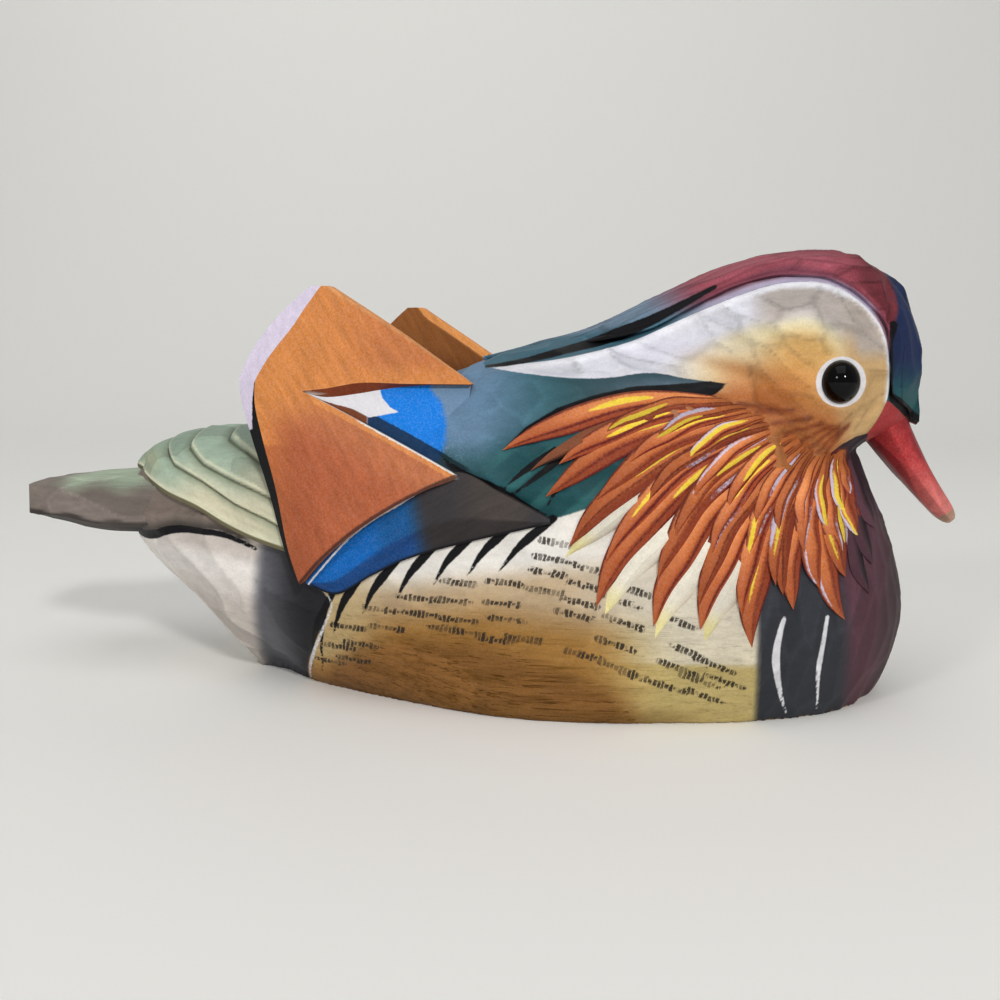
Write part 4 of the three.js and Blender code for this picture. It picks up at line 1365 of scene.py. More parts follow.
    def _ticks(self, s: Shader, place: Socket, waver: Socket, fuzz: Socket) -> Socket:
        """Rows of short upright dashes of a fine brush, of uneven height and blackness."""
        parts = s.node("ShaderNodeSeparateXYZ")
        s.feed(parts.inputs[0], place)
        slant = s.times(parts.outputs["Z"], -0.25)
        along = s.plus(s.plus(parts.outputs["X"], slant), s.times(waver, 0.9))
        comb = s.math("ABSOLUTE", s.minus(s.math("FRACT", s.math("DIVIDE", along, 0.62)), 0.5))
        cell = s.node("ShaderNodeTexWhiteNoise", noise_dimensions="2D")
        pair = s.node("ShaderNodeCombineXYZ")
        s.feed(pair.inputs[0], s.math("FLOOR", s.math("DIVIDE", along, 0.62)))
        s.feed(pair.inputs[1], s.math("FLOOR", s.math("DIVIDE", parts.outputs["Z"], 2.2)))
        s.feed(cell.inputs["Vector"], pair.outputs[0])
        tall = s.plus(0.22, s.times(cell.outputs["Value"], 0.34))
        upright = s.step(s.plus(comb, s.times(fuzz, 0.35)), 0.3, 0.48, 1, 0)
        row = s.step(s.minus(s.mark("tick_row"), tall), -0.12, 0.14, 1, 0)
        strength = s.step(s.noise(place, 0.5, 1, 0.5), 0.3, 0.55, 0.55, 0.96)
        return s.times(upright, row, strength)


def plain(tint: Tint, count: int) -> Array:
    """One paint for every point."""
    return np.tile(np.array(tint, float), (count, 1))


def speckled_slate(s: Shader, under: Socket) -> Socket:
    """A dusting of pale dots where the blue patch fades into the shoulder."""
    dots = s.step(s.noise(s.place(), 3.2, 2, 0.8), 0.5, 0.66)
    gap = s.mark("from_blue")
    near = s.times(s.step(gap, 7.5, 0.5), s.step(gap, -0.6, 0.4))
    return s.mix(s.times(dots, near, 0.5), under, rgba(PAINT.slate_dots))


def blue_patch(s: Shader, under: Socket) -> Socket:
    """The blue patch of the folded wing over another paint, with a band of painted shade along the sill.
    """
    fuzz = s.fuzz(2.0, 4, 0.7)
    inside = s.step(s.plus(s.mark("from_blue"), s.times(fuzz, 1.5)), -0.5, 0.7, 1, 0)
    wing = s.step(s.mark("from_blue"), 6.0, 4.0)
    # A dark band just above the sill, inside the wedge: painted shade.
    deep = s.step(s.plus(s.mark("above_sill"), s.times(fuzz, 0.35)), 1.42, 1.62, 1, 0)
    dark = s.mix(inside, rgba(PAINT.sill_shade), rgba(PAINT.blue_sill_shade))
    colour = s.mix(inside, under, rgba(PAINT.blue))
    return s.mix(s.times(deep, wing), colour, dark)


class Wing:
    """Where the folded wing lies: shared by the sail, the band and the paint beside them."""

    LEFT_AHEAD = 5.6
    LEFT_SAIL_LOWER = 1.4
    FACE_HALF = 23.3
    FACE_ALONG_X = 0.075
    FACE_ALONG_Z = -0.347
    FACE_TWIST = -0.01347
    FACE_AT_Z = 34.0
    SILL_REAR = (-18.2, 45.3)
    SILL_FALL = 0.498
    SQUARE_TO_SILL = 0.895

    @classmethod
    def face_y(cls, x: Array, z: Array) -> Array:
        """The outer face of the right sail."""
        rise = z - cls.FACE_AT_Z
        return -(
            cls.FACE_HALF + cls.FACE_ALONG_X * x + cls.FACE_ALONG_Z * rise + cls.FACE_TWIST * x * rise
        )

    @classmethod
    def sill_z(cls, x: Array) -> Array:
        """How high the lower edge of the sail's wedge is."""
        return cls.SILL_REAR[1] - cls.SILL_FALL * (x - cls.SILL_REAR[0])

    @classmethod
    def above_sill(cls, x: Array, z: Array) -> Array:
        """How far each place lies above the sill, square to it."""
        return (z - cls.sill_z(x)) * cls.SQUARE_TO_SILL

    @classmethod
    def to_side(cls, points: Array, side: Side, lower: float = 0.0) -> Array:
        """A shape of the right side, mirrored and moved ahead and down for the left."""
        if side is Side.RIGHT:
            return points
        return points * (1, -1, 1) + (cls.LEFT_AHEAD, 0, -lower)

    @classmethod
    def home(cls, points: Array, side: Side, lower: float = 0.0) -> Array:
        """Points of either side, brought back to the right side."""
        if side is Side.RIGHT:
            return points
        return (points - (cls.LEFT_AHEAD, 0, -lower)) * (1, -1, 1)


def hand_in(piece: Piece, slot: str, *nodes: str) -> None:
    """Lets a finished piece ride on the duck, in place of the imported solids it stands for."""
    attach(piece, "root")
    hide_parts(*nodes)
    LOG.info("%s: %d vertices", piece.name, len(piece.data.vertices))


@dataclass
class HeadAndTrunk:
    """The duck's trunk and head in one, with its knife cuts, steps and grooves."""

    bench: Bench
    form: DuckForm
    paint: HeadAndTrunkPaint
    grid: float = 0.535
    brow_step: float = 0.2
    flank_step: float = 0.7
    groove_depth: float = 0.5
    socket_depth: float = 0.15

    def build(self, finish: Material) -> Piece:
        """Makes the piece.

        Args:
            finish: The paint of head and trunk.

        Returns:
            The finished piece.
        """
        trunk = self.bench.rolled("trunk", self.form.trunk_rings(190, 40, 60))
        head = self.bench.rolled("head", self.form.head_rings(120, 44))
        piece = joined("carved_head_and_trunk", [trunk, head])
        finish_with(piece, "REMESH", mode="VOXEL", voxel_size=self.grid * MM, adaptivity=0.0)
        finish_with(piece, "SMOOTH", factor=0.5, iterations=4)
        self._carve(piece)
        self.paint.lay_on(piece, self.bench, self.form)
        return dressed(piece, finish)

    def _true_sides(self, points: Array, normals: Array) -> Array:
        """Brings the sides to the form's exact width, with the valley at the neck filled."""
        facing = smoothstep(0.3, 0.6, np.abs(normals[:, 1]))
        exact = self.form.side_half(points[:, 0], points[:, 2])
        side = np.sign(points[:, 1])
        moved = points.copy()
        moved[:, 1] += facing * (side * np.maximum(exact, 0.3) - points[:, 1])
        return moved

    def _carve(self, piece: Piece) -> None:
        """Cuts the facets, the steps and the grooves into the smooth form."""
        bench = self.bench
        points = self._true_sides(bench.points_of(piece), bench.normals_of(piece))
        bench.move_points(piece, points)
        normals = bench.normals_of(piece)
        at = self.paint.seen(points)
        rng = np.random.default_rng(SEED)
        relief, edge, tone, line = self._cuts(points, at, rng)
        relief += self._steps(at)
        relief += self._grooves(at)
        moved = points + normals * relief[:, None]
        moved[:, 2] = np.where((normals[:, 2] < -0.8) & (points[:, 2] < 0.8), 0, moved[:, 2])
        moved[:, 2] = np.maximum(moved[:, 2], 0)
        moved[:, 0] = np.clip(moved[:, 0], self.form.trunk_rear, self.form.head_front)
        bench.move_points(piece, moved)
        set_cuts(piece, edge, tone, line)

    def _cuts(self, points: Array, at: Array, rng: Rng) -> tuple[Array, Array, Array, Array]:
        """The knife cuts of each area: how deep they go, their ridges, tones and ridge lines."""
        x, z = at.T
        lower, face = self.paint.lower_edge(at), self.paint.face_edge(at)
        on_face = smoothstep(0.2, 0.9, face) * smoothstep(3.4, 4.4, self.paint.from_eye(at))
        on_breast = smoothstep(0.3, 1.2, lower) * smoothstep(44, 46, x) * (face < 0)
        on_flank = smoothstep(0.3, 1.2, lower) * fade(44, 46, x) * (z > 0.2)
        on_rump = fade(-1.4, -0.2, lower) * fade(-17, -13, x) * (z < 27)
        on_back = fade(-1.2, -0.3, np.maximum(lower, face)) * smoothstep(-13, -9, x)
        on_back *= np.where((z > 33) & (z < 47.5), smoothstep(4, 9, x), 1)
        # The last number lightens or darkens each area's ridges: partly painted highlight and shade.
        fields = [
            (Cuts((0.9, 0, -0.38), 5.6, 2.5, 0.95, 0.6), on_face, 0.68),
            (Cuts((0.12, 0, 1), 8.5, 2.3, 0.32, 0.3), on_breast, 1.25),
            (Cuts((1, 0, 0.08), 15, 5, 0.2), on_flank, 1.0),
            (Cuts((0.65, 0, -0.75), 9, 4.6, 0.55), on_rump, 0.9),
            (Cuts((0.9, 0, -0.35), 6.5, 3.2, 0.42), on_back, 1.25),
        ]
        relief = np.zeros(len(points))
        edge, tone, line = np.full(len(points), 3.0), np.full(len(points), 0.5), np.ones(len(points))
        for cuts, share, shade in fields:
            scoop, border, own = cuts.laid(points, share, rng)
            relief += share * cuts.depth * (scoop - 0.55)
            edge = np.where(share > 0.5, border, edge)
            tone += share * (own - 0.5)
            line += share * (shade - 1)
        return relief, edge, tone, line

    def _steps(self, at: Array) -> Array:
        """Where a surface stands lower than its neighbour: under the crest, behind the flank."""
        x, z = at.T
        edge = distance_to(through(self.paint.brow_top), at)
        beyond = self.paint.cap_edge(at) > 0
        band = np.where(beyond, smoothstep(0.0, 0.7, edge), 0)
        rim = 0.22 * soft_line(edge, 0.5, 0.45) * ~beyond * (x < 62)
        lower = self.paint.lower_edge(at)
        behind = (lower < 0) & (x < -12) & (z < 24)
        sunk = np.where(behind, smoothstep(0.0, 0.6, -lower) * fade(6, 14, -lower), 0)
        socket = fade(0, 0.7, self.paint.from_eye(at) - 3.05)
        return rim - self.brow_step * band - self.flank_step * sunk - self.socket_depth * socket

    def _grooves(self, at: Array) -> Array:
        """V-shaped cuts along the drawn lines, a row of notches and the brow's foot."""
        depth = self.groove_depth
        cut = np.zeros(len(at))
        drawn = [
            (self.paint.stripe, 1.4, 1.0),
            (self.paint.groove, 1.2, 1.3),
            (self.paint.brow_foot, 1.1, 0.55),
            (self.paint.under_tail_shadow_line, 1.2, 0.8),
            *((line, 1.1, 0.9) for line in self.paint.shoulder_shadow_lines),
        ]
        for line, reach, share in drawn:
            cut += share * depth * np.clip(1 - distance_to(through(line), at) / reach, 0, 1)
        # The hollow over the ruff is cut deeper here; its black is painted shadow.
        cut += 1.2 * depth * smoothstep(-0.5, 0.7, depth_inside(np.array(self.paint.shadow_crescent), at))
        return -cut


@dataclass
class Crest:
    """The cap from the nape over the crown and down the forehead, proud of the brow."""

    bench: Bench
    form: DuckForm
    paint: HeadAndTrunkPaint
    steps: int = 44
    highest: float = 66.36
    bend: float = 59
    forehead: float = 64
    hollow: tuple[Point, ...] = ((0, 3), (0.35, 2), (0.7, 0.6), (0.86, 0.32))

    def build(self, finish: Material) -> Piece:
        """Makes the piece.

        Args:
            finish: The paint of head and trunk.

        Returns:
            The finished piece.
        """
        form = self.form
        stations = np.concatenate([
            np.linspace(form.crest_rear, self.bend, 190),
            np.linspace(self.bend, self.forehead, 71)[1:],
            np.linspace(self.forehead, form.head_front + 0.2, 32)[1:],
        ])
        rings = []
        for x in stations:
            edge_z = float(form.crest_edge_z(x))
            inner = float(form.head_half(np.array(min(x, form.head_front - 0.4)), np.array(edge_z)))
            edge = max(inner + form.crest_step, 2.2)
            arc = quarter(self.steps, 2.2)
            top = float(form.crest_top(x))
            high = np.stack([edge * arc[:, 0], edge_z + (top - edge_z) * arc[:, 1]], axis=1)
            deep = 1 - 0.8 * float(smoothstep(self.forehead, 66.5, x))
            under = np.array([[edge * out, edge_z - down * deep] for out, down in self.hollow])
            rings.append(mirrored_ring(x, np.vstack([under, high])))
        piece = self.bench.rolled("carved_crest", np.array(rings))
        self._carve(piece)
        self.paint.lay_on(piece, self.bench, form)
        return dressed(piece, finish, 50)

    def _carve(self, piece: Piece) -> None:
        """Long cuts along the crown, with a hard line between its top and its side."""
        points, normals = self.bench.points_of(piece), self.bench.normals_of(piece)
        rng = np.random.default_rng(SEED + 1)
        x, z = points[:, 0], points[:, 2]
        above = z - self.form.crest_edge_z(x)
        share = smoothstep(0.1, 0.9, above)
        front = smoothstep(59.5, 64.5, x)
        crown = Cuts((0.94, 0, 0.34), 17, 2.5, 0.5, 0.35).laid(points, share * (1 - front), rng)
        brow = Cuts((0, 0, 1), 8, 2.6, 0.4, 0.3).laid(points, share * front, rng)
        _, edge, tone = (np.where(front > 0.5, b, a) for a, b in zip(crown, brow))
        relief = share * 0.5 * ((1 - front) * crown[0] + front * brow[0] - 1.55)
        moved = points + normals * relief[:, None]
        moved[:, 2] = np.minimum(moved[:, 2], self.highest)
        self.bench.move_points(piece, moved)
        set_cuts(piece, np.where(share > 0.5, edge, 3), tone, 0.62)


@dataclass
class Bill:
    """The drooping bill, with flattened faces and a bevelled nail at its tip."""

    bench: Bench
    root: Point = (62.6, 43)
    tip: Point = (74.2, 26.2)
    depth: Profile = Profile((
        (0, 4.2), (0.25, 3.35), (0.55, 2.5), (0.75, 2.1), (0.9, 1.75), (0.97, 1.3), (1, 0.8),
    ))
    half: Profile = Profile((
        (0, 6.4), (0.14, 5.8), (0.28, 5.1), (0.45, 4.3), (0.7, 3.7), (0.88, 3.3), (0.97, 2.3),
        (1, 1.2),
    ))
    bow: float = 0.5
    nail_from: float = 0.9
    stations: int = 90
    around: int = 72

    def build(self, finish: Material) -> Piece:
        """Makes the piece.

        Args:
            finish: The bill's paint.

        Returns:
            The finished piece.
        """
        root, tip = np.array(self.root), np.array(self.tip)
        along = tip - root
        culmen = np.array((-along[1], along[0])) / np.linalg.norm(along)
        share = 1 - (1 - np.linspace(0, 1, self.stations)) ** 1.3
        angle = np.linspace(0, 2 * math.pi, self.around, endpoint=False)
        flats = 1 - 0.05 * np.abs(np.sin(3 * (angle - 0.35)))
        rings, runs, outs = [], [], []
        for s in share:
            middle = root + along * s - culmen * self.bow * math.sin(math.pi * s)
            out = np.cos(angle) * float(self.depth(s)) * flats
            wide = np.sin(angle) * float(self.half(s)) * flats
            ring = [middle[0] + culmen[0] * out, wide, middle[1] + culmen[1] * out]
            rings.append(np.stack(ring, axis=1))
            runs.append(np.full(self.around, s))
            outs.append(np.cos(angle))
        marks = {"run": np.array(runs), "out": np.array(outs)}
        piece = self.bench.rolled("carved_bill", np.array(rings), marks)
        self._paint(piece)
        return dressed(piece, finish, 60)

    def _paint(self, piece: Piece) -> None:
        """Red at the root, pinker to the tip, with a pale edge below and a tan nail."""
        run, out = mark_of(piece, "run"), mark_of(piece, "out")
        points, normals = self.bench.points_of(piece), self.bench.normals_of(piece)
        cuts = Cuts((0.56, 0, -0.83), 8, 1.7, 0.16, 0.3)
        scoop, edge, tone = cuts.laid(points, np.ones(len(points)), np.random.default_rng(SEED + 2))
        self.bench.move_points(piece, points - normals * (cuts.depth * (1.4 - scoop))[:, None])
        set_cuts(piece, edge, tone, 1.2)
        tints = plain(PAINT.bill, len(points))
        tints = wash(tints, PAINT.bill_tip, 0.9 * smoothstep(0.3, 0.95, run))
        tints = wash(tints, PAINT.bill_deep, 0.6 * smoothstep(0.2, 0.8, out) * fade(0.25, 0.8, run))
        pale = smoothstep(0.82, 0.95, -out) * smoothstep(0.1, 0.4, run)
        tints = wash(tints, PAINT.bill_pale, 0.75 * pale)
        nail = smoothstep(self.nail_from, self.nail_from + 0.02, run)
        set_paint(piece, "coat", wash(tints, PAINT.nail, nail))


@dataclass
class Tail:
    """The blade of the tail, flat on top, with bevelled lower edges."""

    bench: Bench
    end: float = -70.8
    root: float = -42
    top: Profile = Profile(((-71, 30.3), (-66, 31.4), (-60, 32), (-42, 32.6)))
    bottom: Profile = Profile(((-71, 24.7), (-64, 23.6), (-54, 22.4), (-48, 22.5), (-42, 23)))
    half: Profile = Profile((
        (-71, 5.8), (-70.3, 6.9), (-69.5, 7.8), (-62, 10.6), (-54, 12.2), (-48, 12.4), (-42, 11.2),
    ))
    stations: int = 110
    steps_per_side: int = 14

    def build(self, finish: Material) -> Piece:
        """Makes the piece.

        Args:
            finish: The tail's paint.

        Returns:
            The finished piece.
        """
        rings = []
        for x in np.linspace(self.end, self.root, self.stations):
            half, top, bottom = float(self.half(x)), float(self.top(x)), float(self.bottom(x))
            away = float(smoothstep(self.end, self.end + 9, np.array(x)))
            corners = np.array([
                [0, bottom], [half * 0.66, bottom], [half, bottom + 0.7 + 1.1 * away],
                [half * 0.96, top - 0.5 - 1.3 * away], [half * 0.7, top - 0.3], [0, top],
            ])
            rings.append(mirrored_ring(x, stepped(corners, self.steps_per_side)))
        piece = self.bench.rolled("carved_tail", np.array(rings))
        self._carve(piece)
        return dressed(piece, finish, 40)

    def _carve(self, piece: Piece) -> None:
        """Flat cuts along the blade, and the paint: green on top, brown-grey below, with painted shade
        underneath.
        """
        points, normals = self.bench.points_of(piece), self.bench.normals_of(piece)
        cuts = Cuts((1, 0, 0.1), 11, 3.2, 0.28, 0.4)
        scoop, edge, tone = cuts.laid(points, np.ones(len(points)), np.random.default_rng(SEED + 3))
        inward = cuts.depth * (1.5 - scoop) * smoothstep(self.end + 0.1, self.end + 2, points[:, 0])
        self.bench.move_points(piece, points - normals * inward[:, None])
        set_cuts(piece, edge, tone, 1.25)
        x, _, z = points.T
        share_up = (z - self.bottom(x)) / (self.top(x) - self.bottom(x))
        tints = plain(PAINT.tail, len(points))
        green = smoothstep(0.62, 0.98, share_up + 0.05 * np.sin(0.7 * x)) * smoothstep(-68, -60, x)
        tints = wash(tints, PAINT.tail_green, 0.85 * green)
        tints = wash(tints, PAINT.tail_end, 0.5 * fade(-70, -64, x) * share_up)
        # The lower facet painted dark: painted shade.
        facet = self.bottom(x) + 1.5 + 1.1 * smoothstep(-71, -60, x) + 0.2 * np.sin(0.8 * x)
        tints = wash(tints, PAINT.tail_underside_shade, 0.9 * fade(-0.25, 0.25, z - facet))
        # A black line under the blade near its root: painted shadow where the tail meets the rump.
        root_shadow = fade(0.05, 0.16, share_up) * smoothstep(-56, -46, x)
        set_paint(piece, "coat", wash(tints, PAINT.ink, 0.85 * root_shadow))


def stepped(corners: Array, steps: int | Sequence[int]) -> Array:
    """A bent line with even steps between each two corners, alike or counted one by one."""
    counts = np.broadcast_to(steps, len(corners) - 1)
    parts = [
        a + (b - a) * np.linspace(0, 1, count, endpoint=False)[:, None]
        for a, b, count in zip(corners[:-1], corners[1:], counts)
    ]
    return np.vstack([*parts, corners[-1:]])


@dataclass
class TailCoverts:
    """Four layers of feathers draped over the rump, stepped where one lies on the next."""

    bench: Bench
    form: DuckForm
    nose: float = -53.9
    front: float = -10
    fade: float = -27
    rounding: float = 12
    brow: float = 7
    lap: float = 1.5
    lip: float = 0.75
    edge: Profile = Profile((
        (-53.9, 33), (-50, 32), (-46.5, 31), (-41.9, 29.4), (-37.3, 28), (-31.5, 25.6),
        (-25.5, 23.6), (-21.2, 22.4), (-10, 19),
    ))
    top: Profile = Profile((
        (-54, 36.4), (-50, 37.2), (-46, 38), (-42, 38.6), (-38, 38.6), (-34, 38.4), (-28, 38.7),
        (-18, 39.9), (-10, 41),
    ))
    laps: tuple[tuple[Point, ...], ...] = (
        (
            (-46.6, 42), (-45.7, 37.9), (-44.9, 36.6), (-42.1, 34.2), (-36.5, 32), (-30.3, 29),
            (-25.4, 27.2), (-22.4, 25.8), (-10, 20.5),
        ),
        (
            (-41.8, 42), (-41, 38.4), (-40.2, 36.4), (-36.6, 34.2), (-32.1, 32.6), (-26.8, 30.9),
            (-23.6, 29.6), (-10, 24),
        ),
        ((-36.6, 42), (-35.6, 38.7), (-34.4, 37.2), (-29.6, 35.5), (-26.6, 34.2), (-10, 28)),
    )
    lap_height: float = 0.5
    stations: int = 260
    steps: int = 100

    def build(self, finish: Material) -> Piece:
        """Makes the piece.

        Args:
            finish: The coverts' paint.

        Returns:
            The finished piece.
        """
        rings, rises = [], []
        for share in np.linspace(0, 1, self.stations):
            ring, rise = self._ring(self.nose + (self.front - self.nose) * share**1.25)
            rings.append(ring)
            rises.append(rise)
        piece = self.bench.rolled("carved_tail_coverts", np.array(rings), {"rise": np.array(rises)})
        self._carve(piece)
        return dressed(piece, finish, 50)

    def _ring(self, x: float) -> tuple[Array, Array]:
        """One section across the coverts, and how high each of its points is above the edge."""
        edge_z = float(self.edge(x))
        ahead = x - self.nose + 0.35
        rounding = float(rounded_off(np.array(1 - ahead / self.rounding), 2))
        left = min(max((self.front - x) / (self.front - self.fade), 0), 1)
        trunk = float(self.form.trunk_half(np.array(x), np.array(edge_z)))
        half = (max(trunk, 5) + self.lap * left - (1 - left)) * rounding
        crest = (float(self.form.trunk_top(x)) - 2) * (1 - left) + float(self.top(x)) * left
        rise = max((crest - edge_z) * float(rounded_off(np.array(1 - ahead / self.brow), 2)), 0.4)
        arc = quarter(self.steps, 2.3)
        thick = min(self.lip, 0.3 * rise)
        shoulder = half - 0.3 * min(1, half / 3)
        high = np.stack([shoulder * arc[:, 0], edge_z + thick + (rise - thick) * arc[:, 1]], axis=1)
        under = np.array([
            [0, edge_z - 0.8], [half * 0.8, edge_z - 0.5], [half * 0.985, edge_z - 0.25],
            [half, edge_z + thick * 0.65],
        ])
        low = stepped(np.vstack([under, high[:1]]), 5)[:-1]
        heights = np.concatenate([np.linspace(-4, 0, len(low) + 1)[:-1], arc[:, 1] * max(rise, 0.1)])
        return mirrored_ring(x, np.vstack([low, high])), np.concatenate([heights, heights[1:-1][::-1]])

    def _carve(self, piece: Piece) -> None:
        """Steps the surface at each lap, and paints it from green to beige, with painted shade and
        highlights at the laps.
        """
        points, normals = self.bench.points_of(piece), self.bench.normals_of(piece)
        rise = mark_of(piece, "rise")
        at = points[:, [0, 2]]
        gaps = []
        for line in self.laps:
            away = distance_to(np.array(line), at)
            gaps.append(np.where(at[:, 1] > np.interp(at[:, 0], *np.array(line).T), away, -away))
        share = smoothstep(0.1, 0.7, rise)
        cuts = Cuts((0.85, 0, -0.5), 12, 4.2, 0.16, 0.4)
        scoop, edge, tone = cuts.laid(points, share, np.random.default_rng(SEED + 10))
        relief = -cuts.depth * (1.3 - scoop)
        for gap in gaps:
            relief += self.lap_height * smoothstep(-0.05, 0.25, gap) - 0.22 * soft_line(gap, -0.25, 0.4)
        self.bench.move_points(piece, points + normals * (share * relief)[:, None])
        set_cuts(piece, np.where(share > 0.5, edge, 3), tone, 0.92)
        x, _, z = points.T
        layer = sum((gap > 0).astype(float) for gap in gaps)
        height = z - 0.1 * (x + 40) + 1.2 * np.sin(0.4 * x + layer)
        tints = plain(PAINT.covert_low, len(x))
        tints = wash(tints, PAINT.covert, smoothstep(27, 36.5, height))
        tints = wash(tints, PAINT.covert_front, 0.5 * smoothstep(-32, -20, x))
        tints = wash(tints, PAINT.covert_rear, 0.5 * spot(x, z, (-48.5, 34.6), (3, 1.6)))
        # Under each lap edge: painted shade and a painted shadow line; just above it, a painted
        # highlight on the lit edge.
        for gap in gaps:
            tints = wash(tints, PAINT.lap_shade, 0.55 * fade(0.0, 1.6, -gap) * (gap < 0))
            tints = wash(tints, PAINT.lap_shadow_line, 0.8 * soft_line(gap, -0.12, 0.16))
            tints = wash(tints, PAINT.lap_lit, 0.75 * soft_line(gap, 0.3, 0.17))
        # The lip's bevel painted pale as a highlight, its underside and wall painted dark as shade.
        rim = smoothstep(-1.2, -0.7, rise) * fade(0.05, 0.35, rise)
        tints = wash(tints, PAINT.covert_rim_highlight, 0.8 * rim)
        set_paint(piece, "coat", wash(tints, PAINT.covert_lip_shade, 0.95 * fade(-1.3, -0.9, rise)))


class SailPart(Enum):
    """The parts of a sail's surface, each with a paint of its own."""

    FACE = 0
    PATCH = 1
    RIM = 2
    INNER = 3
    WALL = 4


@dataclass
class Sail:
    """The upright wing blade, with a wedge cut into its face that shows the blue patch."""

    bench: Bench
    rear: Profile = Profile((
        (18.3, -19.6), (22.3, -21.3), (30.9, -24), (36.5, -25.9), (39.1, -26.7), (44.8, -28.2),
        (46.9, -28.4), (49, -27.7), (51.6, -26.4), (54.2, -24.6), (56.7, -22.3), (59.1, -19.6),
        (60.3, -18),
    ))
    front: Profile = Profile((
        (18.3, -18.7), (22, -15.3), (25.9, -10.7), (29.5, -5.2), (32.2, -0.1), (34, 4), (40, 4.6),
        (46.3, 4.9), (46.5, 5), (47.1, 4.3), (49.5, 0.8), (53.7, -5.2), (59.7, -14.3), (60.3, -15.2),
    ))
    foot: float = 18.3
    tip: float = 60.3
    thickness: float = 3.8
    rear_bevel: Profile = Profile((
        (18.3, 0.7), (22.3, 0.8), (33.9, 1.8), (42.3, 2.3), (45.9, 2.8), (49, 3.4), (54, 4.2),
        (58, 3), (60.3, 1.7),
    ))
    bevel_depth: float = 0.6
    bevel_share: float = 0.85
    inner_bevel: float = 1.5
    free_above: float = 46
    wedge_rear: float = -18.6
    wedge_front: float = 8
    wedge_depth: float = 1.3
    lip_z: Profile = Profile(((-18.6, 45.5), (-15.4, 46.1), (-9.6, 46.9), (-4, 46.6), (6.5, 46.5)))
    lip_inner_z: Profile = Profile((
        (-18.6, 45.3), (-15.4, 44.7), (-11, 45.2), (-8, 45.7), (-4, 46.2), (0, 46.4), (6.5, 46.4),
    ))
    black_edge: tuple[Point, ...] = (
        (-24.6, 48.4), (-25.6, 46.6), (-26, 44), (-26.4, 40), (-40, 39), (-40, 10), (10, 10),
        (10, 48.4),
    )
    white_patch: tuple[Point, ...] = (
        (-18, 45.2), (-16, 45.2), (-8, 45.95), (-7.6, 44.6), (-6.4, 43.3), (-5.1, 42.6), (-9.6, 41.8),
    )
    top_edge: tuple[Point, ...] = ((6.5, 46.4), (-4, 53), (-15.6, 60.3))
    # Where the sail's foot meets the band: the line of its painted shadow.
    foot_shadow_line: tuple[Point, ...] = (
        (-18.7, 18.3), (-15.3, 22), (-10.7, 25.9), (-5.2, 29.5), (-0.1, 32.2), (4, 34),
    )
    least_width: float = 0.6
    front_turns: Vec3 = (34, 46.3, 46.5)
    levels: int = 90
    steps: tuple[int, ...] = (60, 6, 4, 50, 8, 6)

    def build(self, side: Side, finishes: dict[SailPart, Material]) -> Piece:
        """Makes the sail of one side.

        Args:
            side: The duck's side.
            finishes: The paint of each part.

        Returns:
            The finished piece.
        """
        lower = Wing.LEFT_SAIL_LOWER
        rings = Wing.to_side(self._blade_rings(), side, lower)
        blade = self.bench.rolled(f"carved_sail_{side.word}", rings)
        cutter = self.bench.rolled("wedge", Wing.to_side(self._wedge_rings(), side, lower))
        finish_with(blade, "BOOLEAN", operation="DIFFERENCE", solver="MANIFOLD", object=cutter)
        bpy.data.objects.remove(cutter)
        self._paint(blade, side, finishes)
        smooth_shaded(blade, 28)
        return blade

    def _blade_rings(self) -> Array:
        """Level rings from the foot to the tip, for the right side."""
        even = np.linspace(self.foot, self.tip, self.levels)
        rings = []
        for z in np.unique([*even, *self.front_turns]):
            rear = float(self.rear(z))
            front = max(float(self.front(z)), rear + self.least_width)
            bevel = min(float(self.rear_bevel(z)), (front - rear) * self.bevel_share)
            face_rear = rear + bevel
            free = self.inner_bevel * float(smoothstep(self.free_above - 1, self.free_above + 1, z))
            cut = min(free * 1.5, (front - rear) * 0.3)
            thick = self.thickness
            inward = (
                (face_rear, 0), (front, 0), (front, thick - free), (front - cut, thick),
                (rear + 0.3, thick), (rear, bevel * self.bevel_depth), (face_rear, 0),
            )
            corners = np.array([[x, Wing.face_y(x, z) + depth] for x, depth in inward])
            flat = stepped(corners, self.steps)[:-1]
            rings.append(np.stack([flat[:, 0], flat[:, 1], np.full(len(flat), z)], axis=1))
        return np.array(rings)

    def _wedge_rings(self) -> Array:
        """The cutter that takes the wedge out of the right sail, under a slanted lip."""
        rings = []
        for x in np.linspace(self.wedge_rear, self.wedge_front, 110):
            lip, inner, sill = float(self.lip_z(x)), float(self.lip_inner_z(x)), float(Wing.sill_z(x))
            inner = max(inner, sill + 0.02)
            lip = max(lip, inner + 0.02)
            depth = self.wedge_depth * min(1, 0.25 + (x - self.wedge_rear) / 9)
            up = np.linspace(sill, inner, 50)
            floor = np.stack([np.full(len(up), x), Wing.face_y(x, up) + depth, up], axis=1)
            beyond = np.array([lip + (lip - inner) / depth, sill])
            proud = Wing.face_y(x, np.array([lip, sill])) - 1
            outside = np.stack([np.full(2, x), proud, beyond], axis=1)
            rings.append(np.vstack([floor, outside]))
        return np.array(rings)

